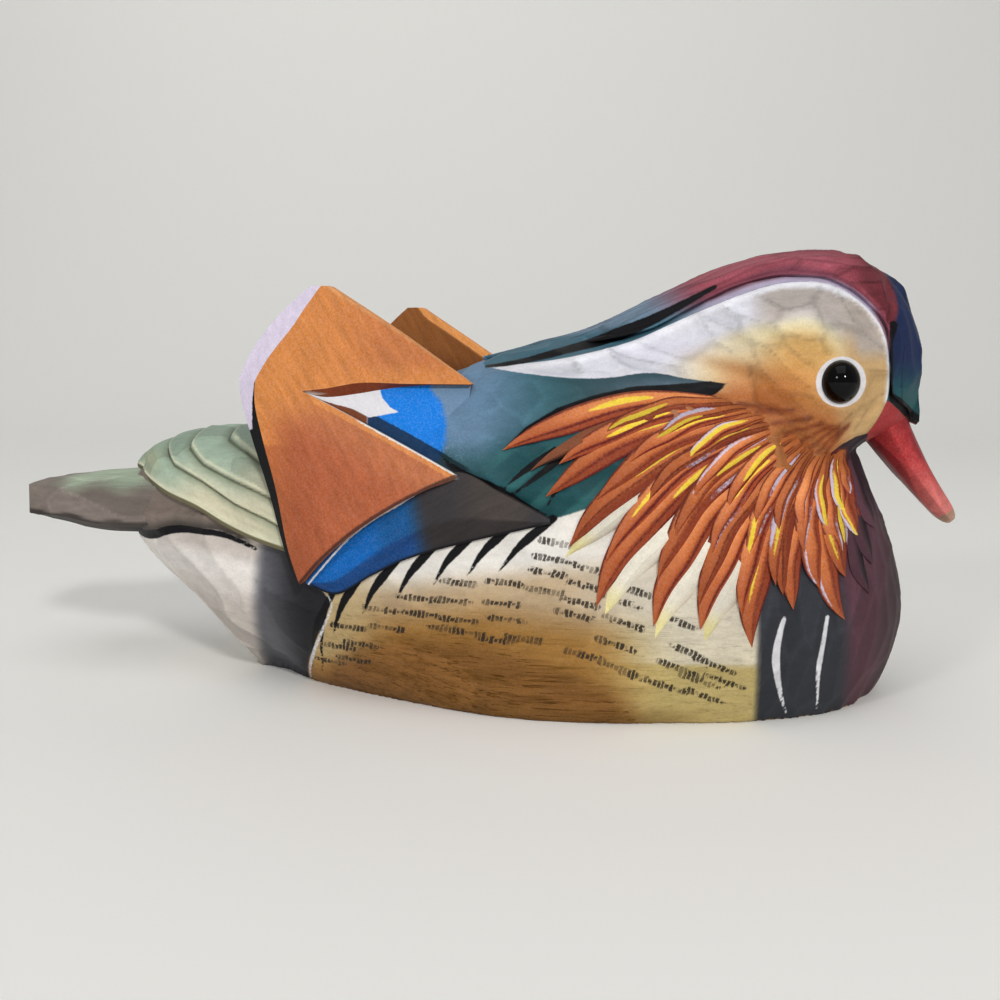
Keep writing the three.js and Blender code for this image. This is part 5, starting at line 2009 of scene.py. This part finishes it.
    def _paint(self, piece: Piece, side: Side, finishes: dict[SailPart, Material]) -> None:
        """Gives each face its paint by where it lies, and stores the painted fields."""
        mesh = piece.data
        mesh.materials.clear()
        for part in SailPart:
            mesh.materials.append(finishes[part])
        lower = Wing.LEFT_SAIL_LOWER
        home = Wing.home(self.bench.points_of(piece), side, lower)
        centres = Wing.home(self.bench.to_carving(triples(mesh.polygons, "center")), side, lower)
        facing = triples(mesh.polygons, "normal") * (1, -side.value, 1)
        x, y, z = centres.T
        proud = y - Wing.face_y(x, z)
        width = np.maximum(self.front(z) - self.rear(z), self.least_width)
        rear = self.rear(z) + np.minimum(self.rear_bevel(z), width * self.bevel_share)
        kind = np.full(len(centres), SailPart.INNER.value)
        kind[proud < 0.06] = SailPart.FACE.value
        in_wedge = (z < self.lip_z(x) + 0.02) & (z > Wing.sill_z(x) - 0.02) & (x > self.wedge_rear)
        in_wedge &= (proud > 0.06) & (proud < 2.4)
        lip = z > np.maximum(self.lip_inner_z(x), Wing.sill_z(x) + 0.02) + 0.01
        wall = lip[in_wedge] | (facing[in_wedge, 1] > -0.5)
        kind[in_wedge] = np.where(wall, SailPart.WALL.value, SailPart.PATCH.value)
        on_rim = (x < rear + 0.01) & (proud < self.thickness - 0.15) & (proud > 0.02)
        kind[on_rim] = SailPart.RIM.value
        mesh.polygons.foreach_set("material_index", kind.astype(np.int32))
        self._fields(piece, home)

    def _fields(self, piece: Piece, home: Array) -> None:
        """The painted colours of face, patch and rim, and the lines between them."""
        x, y, z = home.T
        at = home[:, [0, 2]]
        tints = plain(PAINT.sail, len(at))
        tints = wash(tints, PAINT.sail_rear, 0.6 * fade(-26, -14, x) * smoothstep(36, 44, z))
        tints = wash(tints, PAINT.sail_top, 0.5 * smoothstep(-16, -6, x) * smoothstep(47.5, 50, z))
        tints = wash(tints, PAINT.sail_middle, smoothstep(46, 40, z) * smoothstep(-24, -16, x))
        low = smoothstep(2, 7, -Wing.above_sill(x, z)) * smoothstep(-26, -18, x)
        tints = wash(tints, PAINT.sail_low, 0.9 * low)
        tints = wash(tints, PAINT.sail_foot, 0.5 * fade(0, 9, x + 19.5 + 0.35 * (z - 20)) * (z < 38))
        # A paler strip along the top edge: painted highlight.
        top_edge = distance_to(through(self.top_edge), at)
        tints = wash(tints, PAINT.sail_top_highlight, 0.5 * fade(0.1, 0.4, top_edge))
        set_paint(piece, "coat", tints)
        set_mark(piece, "foot_shadow_gap", distance_to(through(self.foot_shadow_line), at))
        set_mark(piece, "from_blue", HeadAndTrunkPaint.from_blue(at))
        set_mark(piece, "above_sill", Wing.above_sill(x, z))
        set_mark(piece, "along", x)
        set_mark(piece, "white_patch", depth_inside(np.array(self.white_patch), at))
        set_mark(piece, "black_edge", depth_inside(np.array(self.black_edge), at))
        set_mark(piece, "under_lip", z - (Wing.sill_z(x) + self.lip_z(x)) / 2)
        brown = plain(PAINT.sail_inner, len(at))
        brown = wash(brown, PAINT.sail_inner_low, 0.8 * smoothstep(51, 46, z + 0.25 * x))
        set_paint(piece, "inner_coat", brown)
        out = y - Wing.face_y(x, z)
        set_mark(piece, "outward", out)
        set_mark(piece, "front_strip", np.where(z > 36, self.thickness - 0.25 - out, -3))
        set_cuts(piece)

    @staticmethod
    def face_colour(s: Shader) -> Socket:
        """The orange face, with painted highlights along the sill and a painted shadow line at the foot.
        """
        fuzz = s.fuzz(2.4, 3, 0.7, 0.5)
        below = s.plus(s.times(s.mark("above_sill"), -1.0), fuzz)
        ahead = s.step(s.mark("along"), -17.6, -16.6)
        # A bright strip just under the sill: painted highlight.
        strip = s.times(s.step(below, 0.95, 0.7), ahead)
        share = s.times(strip, s.step(below, -0.2, 0.0), 0.6)
        colour = s.mix(share, s.paint("coat"), rgba(PAINT.sail_edge_highlight))
        # A thin white line along the sill: painted highlight.
        line = s.times(s.step(below, 0.26, 0.16), s.step(s.mark("along"), -11.0, -10.0))
        colour = s.mix(s.times(line, s.step(below, -0.3, -0.1)), colour, rgba(PAINT.sill_highlight_line))
        # A dark line along the foot: painted shadow under the sail's edge.
        foot = s.step(s.plus(s.mark("foot_shadow_gap"), s.times(fuzz, 0.5)), 0.3, 0.62, 1, 0)
        return s.mix(s.times(foot, 0.85), colour, rgba(PAINT.foot_shadow_line))

    @staticmethod
    def wall_colour(s: Shader) -> Socket:
        """The wedge's walls: a painted highlight at the sill's edge, red-brown painted shade under the
        lip.
        """
        # In front of x = -9.6 the wall takes the blue painted shade of the sill; behind it, brown.
        deep = s.mix(s.step(s.mark("along"), -9.8, -9.4), rgba(PAINT.wedge_brown), rgba(PAINT.blue_sill_shade))
        sill = s.mix(s.step(s.mark("outward"), 0.42, 0.56), rgba(PAINT.wedge_edge_highlight), deep)
        return s.mix(s.step(s.mark("under_lip"), -0.4, 0.4), sill, rgba(PAINT.lip_underside_shade))

    @staticmethod
    def patch_colour(s: Shader) -> Socket:
        """Blue, with a white corner behind it and a brown wedge along the sill."""
        fuzz = s.fuzz(2.0, 3, 0.6, 0.5)
        colour = blue_patch(s, speckled_slate(s, rgba(PAINT.slate)))
        rear = s.step(s.mark("along"), -9.4, -9.8)
        height = s.step(s.mark("along"), -17.0, -9.6, 0.0, 1.05)
        above = s.plus(s.mark("above_sill"), s.times(fuzz, 0.3))
        brown = s.step(s.minus(above, height), -0.06, 0.06, 1, 0)
        colour = s.mix(rear, colour, rgba(PAINT.white))
        colour = s.mix(s.times(rear, brown), colour, rgba(PAINT.wedge_brown))
        white = s.step(s.plus(s.mark("white_patch"), s.times(fuzz, 0.4)), -0.08, 0.08)
        return s.mix(s.times(white, s.step(s.mark("above_sill"), 0.75, 0.95)), colour, rgba(PAINT.white))

    @staticmethod
    def rim_colour(s: Shader) -> Socket:
        """Lavender above, black below."""
        fuzz = s.fuzz(2.0, 2, 0.6, 0.3)
        black = s.step(s.plus(s.mark("black_edge"), fuzz), -0.1, 0.1)
        return s.mix(black, rgba(PAINT.rim), rgba(PAINT.ink))

    @staticmethod
    def inner_colour(s: Shader) -> Socket:
        """Brown, darker below, with a painted highlight on the front edge's bevel and a line beside it.
        """
        # The front edge's bevel painted bright: painted highlight.
        strip = s.step(s.mark("front_strip"), -0.1, 0.1)
        line = s.times(s.step(s.mark("front_strip"), -0.5, -0.2), 0.6)
        colour = s.mix(line, s.paint("inner_coat"), rgba(PAINT.inner_line))
        return s.mix(strip, colour, rgba(PAINT.sail_edge_highlight))


@dataclass
class WingBand:
    """The folded wing's lower band, in two long facets from blue to dark grey."""

    bench: Bench
    form: DuckForm
    rear: float = -18.6
    front: float = 17
    top_z: Profile = Profile((
        (-18.6, 18.2), (-17.6, 19.4), (-10.7, 26.6), (-5.2, 30.2), (4, 34.6), (10.4, 31.9),
        (17, 28.6),
    ))
    foot_z: Profile = Profile((
        (-18.6, 18), (-17, 17.4), (-14.4, 16.7), (-8.3, 19.8), (-3.1, 22.4), (5.5, 25.1), (17, 28),
    ))
    proud: float = 0.8
    crease: float = 0.36
    stations: int = 130
    steps: int = 44

    def build(self, side: Side, finish: Material) -> Piece:
        """Makes the band of one side.

        Args:
            side: The duck's side.
            finish: The band's paint.

        Returns:
            The finished piece.
        """
        lead = Wing.LEFT_AHEAD if side is Side.LEFT else 0
        rings, rises = [], []
        for x in np.linspace(self.rear, self.front, self.stations):
            top, foot = float(self.top_z(x)), float(self.foot_z(x))
            share = np.linspace(0, 1, self.steps)
            z = foot + (top - foot) * share
            reach = np.where(share < self.crease, self.crease, 1 - self.crease)
            swell = 0.45 * (1 - np.abs(share - self.crease) / reach)
            trunk = self.form.trunk_half(np.full_like(z, x + lead), z)
            outer = -(trunk + self.proud * 0.6 + swell * min(1, (top - foot) / 5))
            face = np.stack([np.full_like(z, x), outer, z], axis=1)
            inner = np.array([[x, outer[-1] + 3, top], [x, outer[0] + 3, foot]])
            rings.append(np.vstack([face, inner]))
            rises.append(np.concatenate([share, [1, 0]]))
        shape = Wing.to_side(np.array(rings), side)
        piece = self.bench.rolled(f"carved_wing_band_{side.word}", shape, {"rise": np.array(rises)})
        rise = mark_of(piece, "rise")
        x = self.bench.points_of(piece)[:, 0] - lead
        tall = self.top_z(x) - self.foot_z(x)
        tints = plain(PAINT.band, len(rise))
        tints = wash(tints, PAINT.band_low, fade(self.crease - 0.03, self.crease + 0.03, rise))
        upper = smoothstep(self.crease - 0.1, self.crease, rise)
        tints = wash(tints, PAINT.band_rear, 0.85 * fade(-10, -5, x) * upper)
        grey = plain(PAINT.band_grey, len(rise))
        grey = wash(grey, PAINT.band_front, smoothstep(2, 9, x) * fade(12, 16, x))
        grey = wash(grey, PAINT.band_grey_low, 0.8 * fade(self.crease - 0.05, self.crease + 0.05, rise))
        tints = wash(tints, grey, smoothstep(-3.4, 0.2, x + 2.2 * (rise - 0.5)))
        tints = wash(tints, PAINT.ink, 0.85 * fade(0.2, 0.5, rise * tall) * smoothstep(0.8, 2.4, tall))
        set_paint(piece, "coat", tints)
        set_mark(piece, "down", (1 - rise) * tall)
        set_mark(piece, "along", x)
        set_cuts(piece)
        return dressed(piece, finish, 40)

    @staticmethod
    def colour(s: Shader) -> Socket:
        """The band's coat, with a pale line just under its upper edge."""
        fuzz = s.fuzz(1.4, 3, 0.6, 0.3)
        down = s.plus(s.mark("down"), fuzz)
        line = s.times(s.step(down, 0.5, 0.6), s.step(down, 1.02, 0.92))
        fade = s.step(s.mark("along"), 4.6, 1.6)
        return s.mix(s.times(line, fade), s.paint("coat"), rgba(PAINT.band_line))


class Plume(Enum):
    """The kinds of feather in the ruff, from the lowest to the topmost."""

    PALE = 0
    DARK = 1
    RUST = 2


@dataclass(frozen=True)
class Feather:
    """One pointed feather of the ruff, seen from the side.

    Bow is how far its middle bulges to the upper left, as a share of its length, and half
    is its half width in mm.
    """

    tip: Point
    root: Point
    bow: float
    half: float = 2.3
    lift: float = 0.0
    plume: Plume = Plume.RUST

    def middle(self, share: Array) -> Array:
        """Points of the middle line, from the root to the tip."""
        root, tip = np.array(self.root), np.array(self.tip)
        run = tip - root
        side = np.array((run[1], -run[0]))
        control = (root + tip) / 2 + 2 * self.bow * side
        t = np.asarray(share, float)[:, None]
        return (1 - t) ** 2 * root + 2 * t * (1 - t) * control + t**2 * tip

    def between(
        self, other: "Feather", share: float, reach: float, half: float, lift: float
    ) -> "Feather":
        """A shorter feather that lies between this one and the next."""
        root = (1 - share) * np.array(self.root) + share * np.array(other.root)
        tip = (1 - share) * np.array(self.tip) + share * np.array(other.tip)
        bow = (1 - share) * self.bow + share * other.bow
        return Feather(tuple(root + (tip - root) * reach), tuple(root), bow, half, lift)


@dataclass
class Ruff:
    """The fan of pointed feathers behind the cheek: a long tier and shorter ones on top."""

    bench: Bench
    form: DuckForm
    mains: tuple[Feather, ...] = (
        Feather((10.3, 37.7), (43, 43.8), 0.09, 1.75),
        Feather((16.4, 31.6), (45.4, 42.9), 0.1, 1.95),
        Feather((19.7, 25.0), (47.6, 41.4), 0.11, 2.1),
        Feather((23.4, 17.0), (49.4, 40.2), 0.14, 2.2),
        Feather((31.1, 14.5), (51, 39), 0.12, 2.2),
        Feather((37.3, 14.1), (52.4, 38.2), 0.1, 2.1),
        Feather((44.2, 11.6), (53.6, 37.8), 0.13, 2.05),
        Feather((49.6, 16.6), (54.6, 37.6), 0.12, 1.9),
        Feather((56.9, 14.6), (55.6, 37.4), 0.14, 1.8),
        Feather((56.9, 23.3), (56.6, 37.4), 0.09, 1.5),
        Feather((61.0, 21.6), (57.4, 37.4), 0.06, 1.3, 0.0, Plume.DARK),
    )
    tiers: tuple[tuple[float, float, float, float], ...] = (
        (0.5, 0.84, 1.75, 0.3), (0.0, 0.63, 1.35, 0.55), (0.5, 0.44, 1.1, 0.7),
    )
    pale: tuple[Feather, ...] = (
        Feather((19.0, 23.3), (47, 38.5), 0.09, 1.9, -0.3, Plume.PALE),
        Feather((23.9, 14.8), (49.5, 36.5), 0.12, 2.3, -0.3, Plume.PALE),
        Feather((31.2, 12.5), (51.5, 35.5), 0.1, 2.4, -0.3, Plume.PALE),
        Feather((37.9, 12.1), (53.0, 35.5), 0.08, 2.3, -0.3, Plume.PALE),
    )
    dark: tuple[Feather, ...] = (
        Feather((14.2, 35.0), (42, 42.4), 0.1, 1.2, -0.1, Plume.DARK),
        Feather((61.6, 26.4), (58.2, 37.0), 0.08, 1.2, 0.1, Plume.DARK),
        Feather((60.6, 17.6), (57.6, 33.0), 0.08, 1.1, -0.1, Plume.DARK),
    )
    width: Profile = Profile(((0, 0.3), (0.25, 0.62), (0.5, 0.92), (0.68, 1), (0.84, 0.7), (1, 0.02)))
    ridge: Profile = Profile(((0, 0), (0.12, 0.4), (0.35, 0.72), (0.7, 1.0), (0.92, 0.65), (1, 0.2)))
    edge: Profile = Profile(((0, -0.25), (0.15, 0.12), (1, 0.15)))
    sink: float = 2.4
    stations: int = 46

    def build(self, side: Side, finish: Material) -> Piece:
        """Makes the ruff of one side.

        Args:
            side: The duck's side.
            finish: The ruff's paint.

        Returns:
            The finished piece.
        """
        rng = np.random.default_rng(SEED + 20)
        feathers = [*self.pale, *self.dark, *self.mains]
        for share, reach, half, lift in self.tiers:
            for first, second in zip(self.mains[:-1], self.mains[1:]):
                jitter = rng.uniform(-0.1, 0.1, 2)
                nearer, shorter = share + jitter[0], reach * (1 + jitter[1])
                feathers.append(first.between(second, nearer, shorter, half, lift))
        blades = [self._blade(f"feather_{i}", feather, side, rng) for i, feather in enumerate(feathers)]
        piece = joined(f"carved_ruff_{side.word}", blades)
        return dressed(piece, finish, 20)

    def _blade(self, name: str, feather: Feather, side: Side, rng: Rng) -> Piece:
        """One ridged blade that lies along the side of the duck."""
        share = np.linspace(0, 1, self.stations)
        middle = feather.middle(share + rng.uniform(0, 0.05) * (1 - share))
        ahead = np.gradient(middle, axis=0)
        ahead /= np.linalg.norm(ahead, axis=1)[:, None]
        across = np.stack([-ahead[:, 1], ahead[:, 0]], axis=1)
        half = feather.half * self.width(share)
        ridge_at = rng.uniform(-0.1, 0.32)
        columns = np.array([-1, -0.66, -0.33, 0, 0.33, 0.66, 1.0])
        tone = rng.uniform(0, 1)
        run = float(np.linalg.norm(middle[-1] - middle[0]))
        strokes = self._strokes(feather, run, rng)
        waver = 0.12 * np.sin(share * rng.uniform(9, 15) + rng.uniform(0, 6)) * half
        rings, marks = [], {"run": [], "across": [], "gap": [], "lav": []}
        for i in range(self.stations):
            raised = feather.lift * min(3 * share[i], 1)
            crown, rim = float(self.ridge(share[i])), float(self.edge(share[i]))
            peak = columns + ridge_at * (1 - np.abs(columns))
            spots = middle[i] + np.outer(peak * half[i] + waver[i], across[i])
            up = rim + (crown * (0.6 + 0.4 * feather.half / 2.2) - rim) * (1 - np.abs(columns)) + raised
            face = self._laid(spots, up)
            heel = middle[i] + np.outer([0.5 * half[i], -0.5 * half[i]], across[i])
            back = self._laid(heel, np.full(2, -self.sink))
            rings.append(np.vstack([face, back]))
            marks["run"].append(np.full(9, share[i]))
            marks["across"].append(np.concatenate([columns, [1, -1]]))
            for mark, stroke in zip(("gap", "lav"), strokes):
                depth = self._depth(columns * half[i], share[i], stroke, half[i])
                marks[mark].append(np.concatenate([depth, [-1, -1]]))
        shape = np.array(rings)
        if side is Side.LEFT:
            shape = shape * (1, -1, 1)
        piece = self.bench.rolled(name, shape, {key: np.array(rows) for key, rows in marks.items()})
        self._coat(piece, feather, tone, run)
        return piece

    def _laid(self, spots: Array, proud: Array) -> Array:
        """Points of the side view, laid on the right side of the duck."""
        y = -(self.form.side_half(spots[:, 0], spots[:, 1]) + proud)
        return np.stack([spots[:, 0], y, spots[:, 1]], axis=1)

    def _strokes(
        self, feather: Feather, run: float, rng: Rng
    ) -> tuple[tuple[float, ...], tuple[float, ...]]:
        """Where a yellow and a lavender stroke lie: column, start, end and half width."""
        start, place = rng.uniform(0.12, 0.5), rng.choice([-0.25, 0.0, -0.4])
        yellow = (place, start, start + rng.uniform(7, 11) / run, rng.uniform(0.25, 0.38))
        start, place = rng.uniform(0.1, 0.5), rng.choice([-0.75, -0.7, 0.5])
        lavender = (place, start, start + rng.uniform(7, 13) / run, rng.uniform(0.19, 0.28))
        chance = rng.uniform(0, 1)
        none = (0.0, 2.0, 3.0, 0.1)
        if feather.plume is not Plume.RUST:
            return none, none
        return (yellow if chance < 0.62 else none), (lavender if chance > 0.18 else none)

    def _depth(self, at: Array, share: float, stroke: tuple[float, ...], half: float) -> Array:
        """How deep each place across a feather lies in its stroke, in mm."""
        place, start, end, wide = stroke
        along = min(max((share - start) / (end - start), 0), 1)
        taper = math.sin(math.pi * along) ** 0.45 if 0 < share - start < end - start else -0.6
        return wide * taper - np.abs(at - place * half)

    def _coat(self, piece: Piece, feather: Feather, tone: float, length: float) -> None:
        """A feather's paint: painted light on one facet, painted shade on the other, and dark red in the
        cut between.
        """
        run, across = mark_of(piece, "run"), mark_of(piece, "across")
        if feather.plume is Plume.PALE:
            tints = plain(PAINT.pale_feather, len(run))
            tints = wash(tints, PAINT.pale_tip, 0.8 * smoothstep(0.8, 0.95, run))
            tints = wash(tints, PAINT.pale_shade, 0.7 * smoothstep(0.5, 0.95, across))
        elif feather.plume is Plume.DARK:
            tints = plain(PAINT.breast if feather.tip[0] > 40 else PAINT.dark_feather, len(run))
            tints = wash(tints, PAINT.ink, 0.85 * smoothstep(0.1, 0.9, across))
        else:
            tints = plain(PAINT.rust, len(run))
            tints = wash(tints, PAINT.ruff_lit, (0.25 + 0.6 * tone) * fade(-0.25, 0.15, across))
            tints = wash(tints, PAINT.ruff_shade, (0.75 - 0.3 * tone) * smoothstep(0.1, 0.35, across))
            tints = wash(tints, PAINT.ruff_tip, 0.6 * smoothstep(0.6, 0.98, run + 0.1 * tone))
            tints = wash(tints, PAINT.ruff_root, fade(0.02, 6 / length, run))
        set_paint(piece, "coat", tints)
        rust = feather.plume is Plume.RUST
        scored = np.maximum(0.17 - np.abs(across - 0.05 - 0.3 * tone), np.abs(across) - 0.8)
        cut = np.minimum(scored, 6 * np.minimum(run - 0.05, 0.95 - run))
        set_mark(piece, "cut", np.where(rust, cut, -1))
        set_cuts(piece, tone=tone)

    @staticmethod
    def colour(s: Shader) -> Socket:
        """Each feather's coat, with dark red cuts and yellow and lavender strokes."""
        fuzz = s.fuzz(2.4, 4, 0.7, 0.3)
        yellow = s.step(s.plus(s.mark("gap"), fuzz), -0.05, 0.07)
        lavender = s.step(s.plus(s.mark("lav"), fuzz), -0.05, 0.07)
        cut = s.step(s.plus(s.mark("cut"), fuzz), -0.06, 0.12)
        colour = s.mix(s.times(cut, 0.85), s.paint("coat"), rgba(PAINT.blood))
        colour = s.mix(s.times(lavender, 0.85), colour, rgba(PAINT.lavender))
        return s.mix(s.times(yellow, 0.92), colour, rgba(PAINT.yellow))


@dataclass
class BeadEye:
    """A glossy black bead let into the cheek, with the faint seat line of its rim."""

    bench: Bench
    form: DuckForm
    radius: float = 3.05
    at_x: float = 55.7
    at_z: float = 46.9
    proud: float = 2.2
    squash: float = 0.9

    def build(self, side: Side, finish: Material) -> Piece:
        """Makes the bead of one side.

        Args:
            side: The duck's side.
            finish: The bead's black.

        Returns:
            The finished piece.
        """
        cheek = float(self.form.head_half(np.array(self.at_x), np.array(self.at_z)))
        centre = np.array((self.at_x, side.value * (cheek + self.proud - self.radius), self.at_z))
        deselect_all()
        bpy.ops.mesh.primitive_uv_sphere_add(segments=96, ring_count=48, radius=self.radius * MM)
        piece = bpy.context.object
        piece.name = piece.data.name = f"bead_eye_{side.word}"
        points = self.bench.points_of(piece) + (self.bench.ahead, 0, 0)
        turned = points[:, [0, 2, 1]] * (1, side.value, 1)
        seat = np.abs(turned[:, 1] * side.value - (self.radius - self.proud + 0.1))
        turned *= (1 - 0.012 * np.clip(1 - seat / 0.18, 0, 1))[:, None]
        self.bench.move_points(piece, turned * (self.squash, 1, 1) + centre)
        bpy.ops.object.mode_set(mode="EDIT")
        bpy.ops.mesh.select_all(action="SELECT")
        bpy.ops.mesh.normals_make_consistent(inside=False)
        bpy.ops.object.mode_set(mode="OBJECT")
        return dressed(piece, finish)


@dataclass(frozen=True)
class BeadFinish:
    """Polished black glass, with the faintest smears."""

    name: str = "black_bead"
    roughness: float = 0.04

    def made(self) -> Material:
        """Builds the bead's material."""
        material = bpy.data.materials.new(self.name)
        material.use_nodes = True
        material.node_tree.nodes.clear()
        s = Shader(material.node_tree)
        smear = s.noise(s.place(), 0.8, 3, 0.6)
        bsdf = s.node("ShaderNodeBsdfPrincipled")
        s.feed(bsdf.inputs["Base Color"], s.mix(smear, rgba(PAINT.bead), rgba(PAINT.bead_smear)))
        s.feed(bsdf.inputs["Roughness"], s.step(smear, 0.35, 0.8, self.roughness, self.roughness + 0.07))
        bsdf.inputs["Specular IOR Level"].default_value = 0.16
        s.feed(s.node("ShaderNodeOutputMaterial").inputs["Surface"], bsdf.outputs[0])
        return material


@dataclass(frozen=True)
class Lamp:
    """A square soft light. Its place, its size and what it is aimed at are in metres."""

    name: str
    place: Vec3
    size: float
    power: float
    colour: Vec3 = (1.0, 0.99, 0.97)
    aim: Vec3 = DUCK_MIDDLE

    def hang(self) -> None:
        """Adds the light to the scene."""
        data = bpy.data.lights.new(self.name, "AREA")
        data.size = self.size
        data.energy = self.power
        data.color = self.colour
        light = bpy.data.objects.new(self.name, data)
        light.location = self.place
        light.rotation_mode = "QUATERNION"
        light.rotation_quaternion = (Vector(self.place) - Vector(self.aim)).to_track_quat("Z", "Y")
        bpy.context.scene.collection.objects.link(light)


@dataclass(frozen=True)
class Studio:
    """A pale sweep, two low lights in front, one above, one for the backdrop, and the camera."""

    lamps: tuple[Lamp, ...] = (
        Lamp("key", (0.42, -0.9, 0.56), 0.12, 5.2),
        Lamp("second", (-0.495, -0.88, 0.495), 0.16, 1.9),
        Lamp("top", (0.0, -0.45, 1.25), 1.1, 3.8, (0.98, 0.99, 1.0)),
        Lamp("backdrop", (-0.5, 0.5, 1.3), 0.8, 3.0, (1.0, 1.0, 0.99), (-0.7, 2.1, 0.5)),
    )
    azimuth: float = 9.0
    elevation: float = 7.05
    distance: float = 0.174
    lens: float = 39.6
    sensor: float = 36.0

    def build(self) -> None:
        """Sets up the sweep, the lights, the world and the camera."""
        self._sweep()
        for lamp in self.lamps:
            lamp.hang()
        self._world()
        self._camera()
        bpy.context.scene.view_settings.view_transform = "Standard"
        bpy.context.scene.view_settings.look = "None"

    def _sweep(self) -> None:
        """A floor that curves up into the background."""
        deselect_all()
        bpy.ops.mesh.primitive_grid_add(x_subdivisions=2, y_subdivisions=60, size=1)
        sweep = bpy.context.object
        sweep.name = sweep.data.name = "sweep"
        points = triples(sweep.data.vertices, "co")
        run = (points[:, 1] + 0.5) * 3.4
        bend, radius = 1.5, 0.6
        turn = np.clip((run - bend) / radius, 0, math.pi / 2)
        y = np.where(run < bend, run, bend + radius * np.sin(turn))
        z = np.where(run < bend, 0, radius * (1 - np.cos(turn)))
        z += np.maximum(run - bend - radius * math.pi / 2, 0)
        flat = np.stack([points[:, 0] * 5, y - 0.95, z], axis=1)
        sweep.data.vertices.foreach_set("co", flat.ravel())
        sweep.data.update()
        smooth_shaded(sweep)
        material = bpy.data.materials.new("sweep")
        material.use_nodes = True
        bsdf = material.node_tree.nodes["Principled BSDF"]
        bsdf.inputs["Base Color"].default_value = rgba(PAINT.sweep)
        bsdf.inputs["Roughness"].default_value = 0.85
        sweep.data.materials.append(material)

    def _world(self) -> None:
        """A pale even world."""
        world = bpy.data.worlds.new("studio")
        world.use_nodes = True
        world.node_tree.nodes["Background"].inputs["Color"].default_value = (0.98, 0.99, 1.0, 1)
        world.node_tree.nodes["Background"].inputs["Strength"].default_value = 0.28
        bpy.context.scene.world = world

    def _camera(self) -> None:
        """The camera at the photograph's angle."""
        a, e = math.radians(self.azimuth), math.radians(self.elevation)
        back = Vector((math.sin(a) * math.cos(e), -math.cos(a) * math.cos(e), math.sin(e)))
        data = bpy.data.cameras.new("camera")
        data.sensor_width = self.sensor
        data.lens = self.lens
        data.clip_start = 0.01
        camera = bpy.data.objects.new("camera", data)
        camera.location = Vector(DUCK_MIDDLE) + back * self.distance
        camera.rotation_mode = "QUATERNION"
        camera.rotation_quaternion = back.to_track_quat("Z", "Y")
        bpy.context.scene.collection.objects.link(camera)
        bpy.context.scene.camera = camera


@dataclass
class MandarinDuck:
    """The whole carving: its pieces in order, each in its paint."""

    bench: Bench
    form: DuckForm

    def build(self) -> None:
        """Makes every piece, attaches it to the duck and hides the imported solids it replaces."""
        effects = Effects()
        bench, form = self.bench, self.form
        paint = HeadAndTrunkPaint()
        coat = coat_of("coat")
        pieces = (
            (
                HeadAndTrunk(bench, form, paint),
                Finish("body_paint", (0.35, 0.8, 0.8), grain=0.9),
                paint.colour,
            ),
            (
                Crest(bench, form, paint),
                Finish(
                    "crest_paint", (0.16, 0.8, 0.8), (0, -0.36, 0),
                    unevenness=1.3, speckle=0.8, wear_and_ridge_light=0.8,
                ),
                paint.colour,
            ),
            (
                Bill(bench),
                Finish("bill_paint", (0.9, 0.9, 0.25), (0, 0.6, 0), unevenness=0.9, sheen=0.46),
                coat,
            ),
            (Tail(bench), Finish("tail_paint", (0.15, 0.9, 0.9), unevenness=1.0, wear_and_ridge_light=0.7), coat),
            (
                TailCoverts(bench, form),
                Finish("covert_paint", (0.15, 1.2, 1.2), (0, 0.45, 0), unevenness=0.7, wear_and_ridge_light=0.6),
                coat,
            ),
        )
        for piece, finish, colour_from in pieces:
            hand_in(piece.build(finish.made(effects, colour_from)), WOOD_SLOT, CARVING_NODE)
        self._wings(effects)
        ruff_finish = Finish("ruff_paint", (0.8, 0.8, 0.8), unevenness=0.45, speckle=0.7, wear_and_ridge_light=0.8)
        ruff_paint = ruff_finish.made(effects, Ruff.colour)
        bead = BeadFinish().made()
        for side in Side:
            hand_in(Ruff(bench, form).build(side, ruff_paint), WOOD_SLOT, CARVING_NODE)
            hand_in(BeadEye(bench, form).build(side, bead), BEAD_SLOT, f"eye_{side.word}")

    def _wings(self, effects: Effects) -> None:
        """Makes both sails and both wing bands."""
        lie = {"streaks": (0.14, 1.0, 1.1), "turn": (0, 1.05, 0)}
        face = Finish("sail_face_paint", unevenness=1.0, speckle=0.8, bump=0.2, **lie)
        parts = {
            SailPart.FACE: (face, Sail.face_colour),
            SailPart.PATCH: (Finish("sail_patch_paint", unevenness=0.25, **lie), Sail.patch_colour),
            SailPart.RIM: (Finish("sail_rim_paint", speckle=0.8, **lie), Sail.rim_colour),
            SailPart.INNER: (Finish("sail_inner_paint", unevenness=1.1, **lie), Sail.inner_colour),
            SailPart.WALL: (Finish("sail_step_paint", **lie), Sail.wall_colour),
        }
        finishes = {part: finish.made(effects, colour) for part, (finish, colour) in parts.items()}
        band = Finish("wing_band_paint", (0.16, 1.1, 1.1), (0, -0.5, 0), unevenness=1.0, speckle=0.8)
        band_paint = band.made(effects, WingBand.colour)
        for side in Side:
            hand_in(Sail(self.bench).build(side, finishes), WOOD_SLOT, CARVING_NODE)
            hand_in(WingBand(self.bench, self.form).build(side, band_paint), WOOD_SLOT, CARVING_NODE)


def corners(box: tuple[Vector, Vector]) -> list[list[float]]:
    """A box's two corners as plain lists."""
    return [list(corner) for corner in box]


def main() -> None:
    """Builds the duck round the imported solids."""
    logging.basicConfig(level=logging.INFO, format="%(name)s: %(message)s")
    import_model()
    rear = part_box(CARVING_NODE)[0].x / MM
    MandarinDuck(Bench(ahead=rear - CARVING_REAR_X), DuckForm()).build()
    Studio().build()


if __name__ == "__main__":
    main()
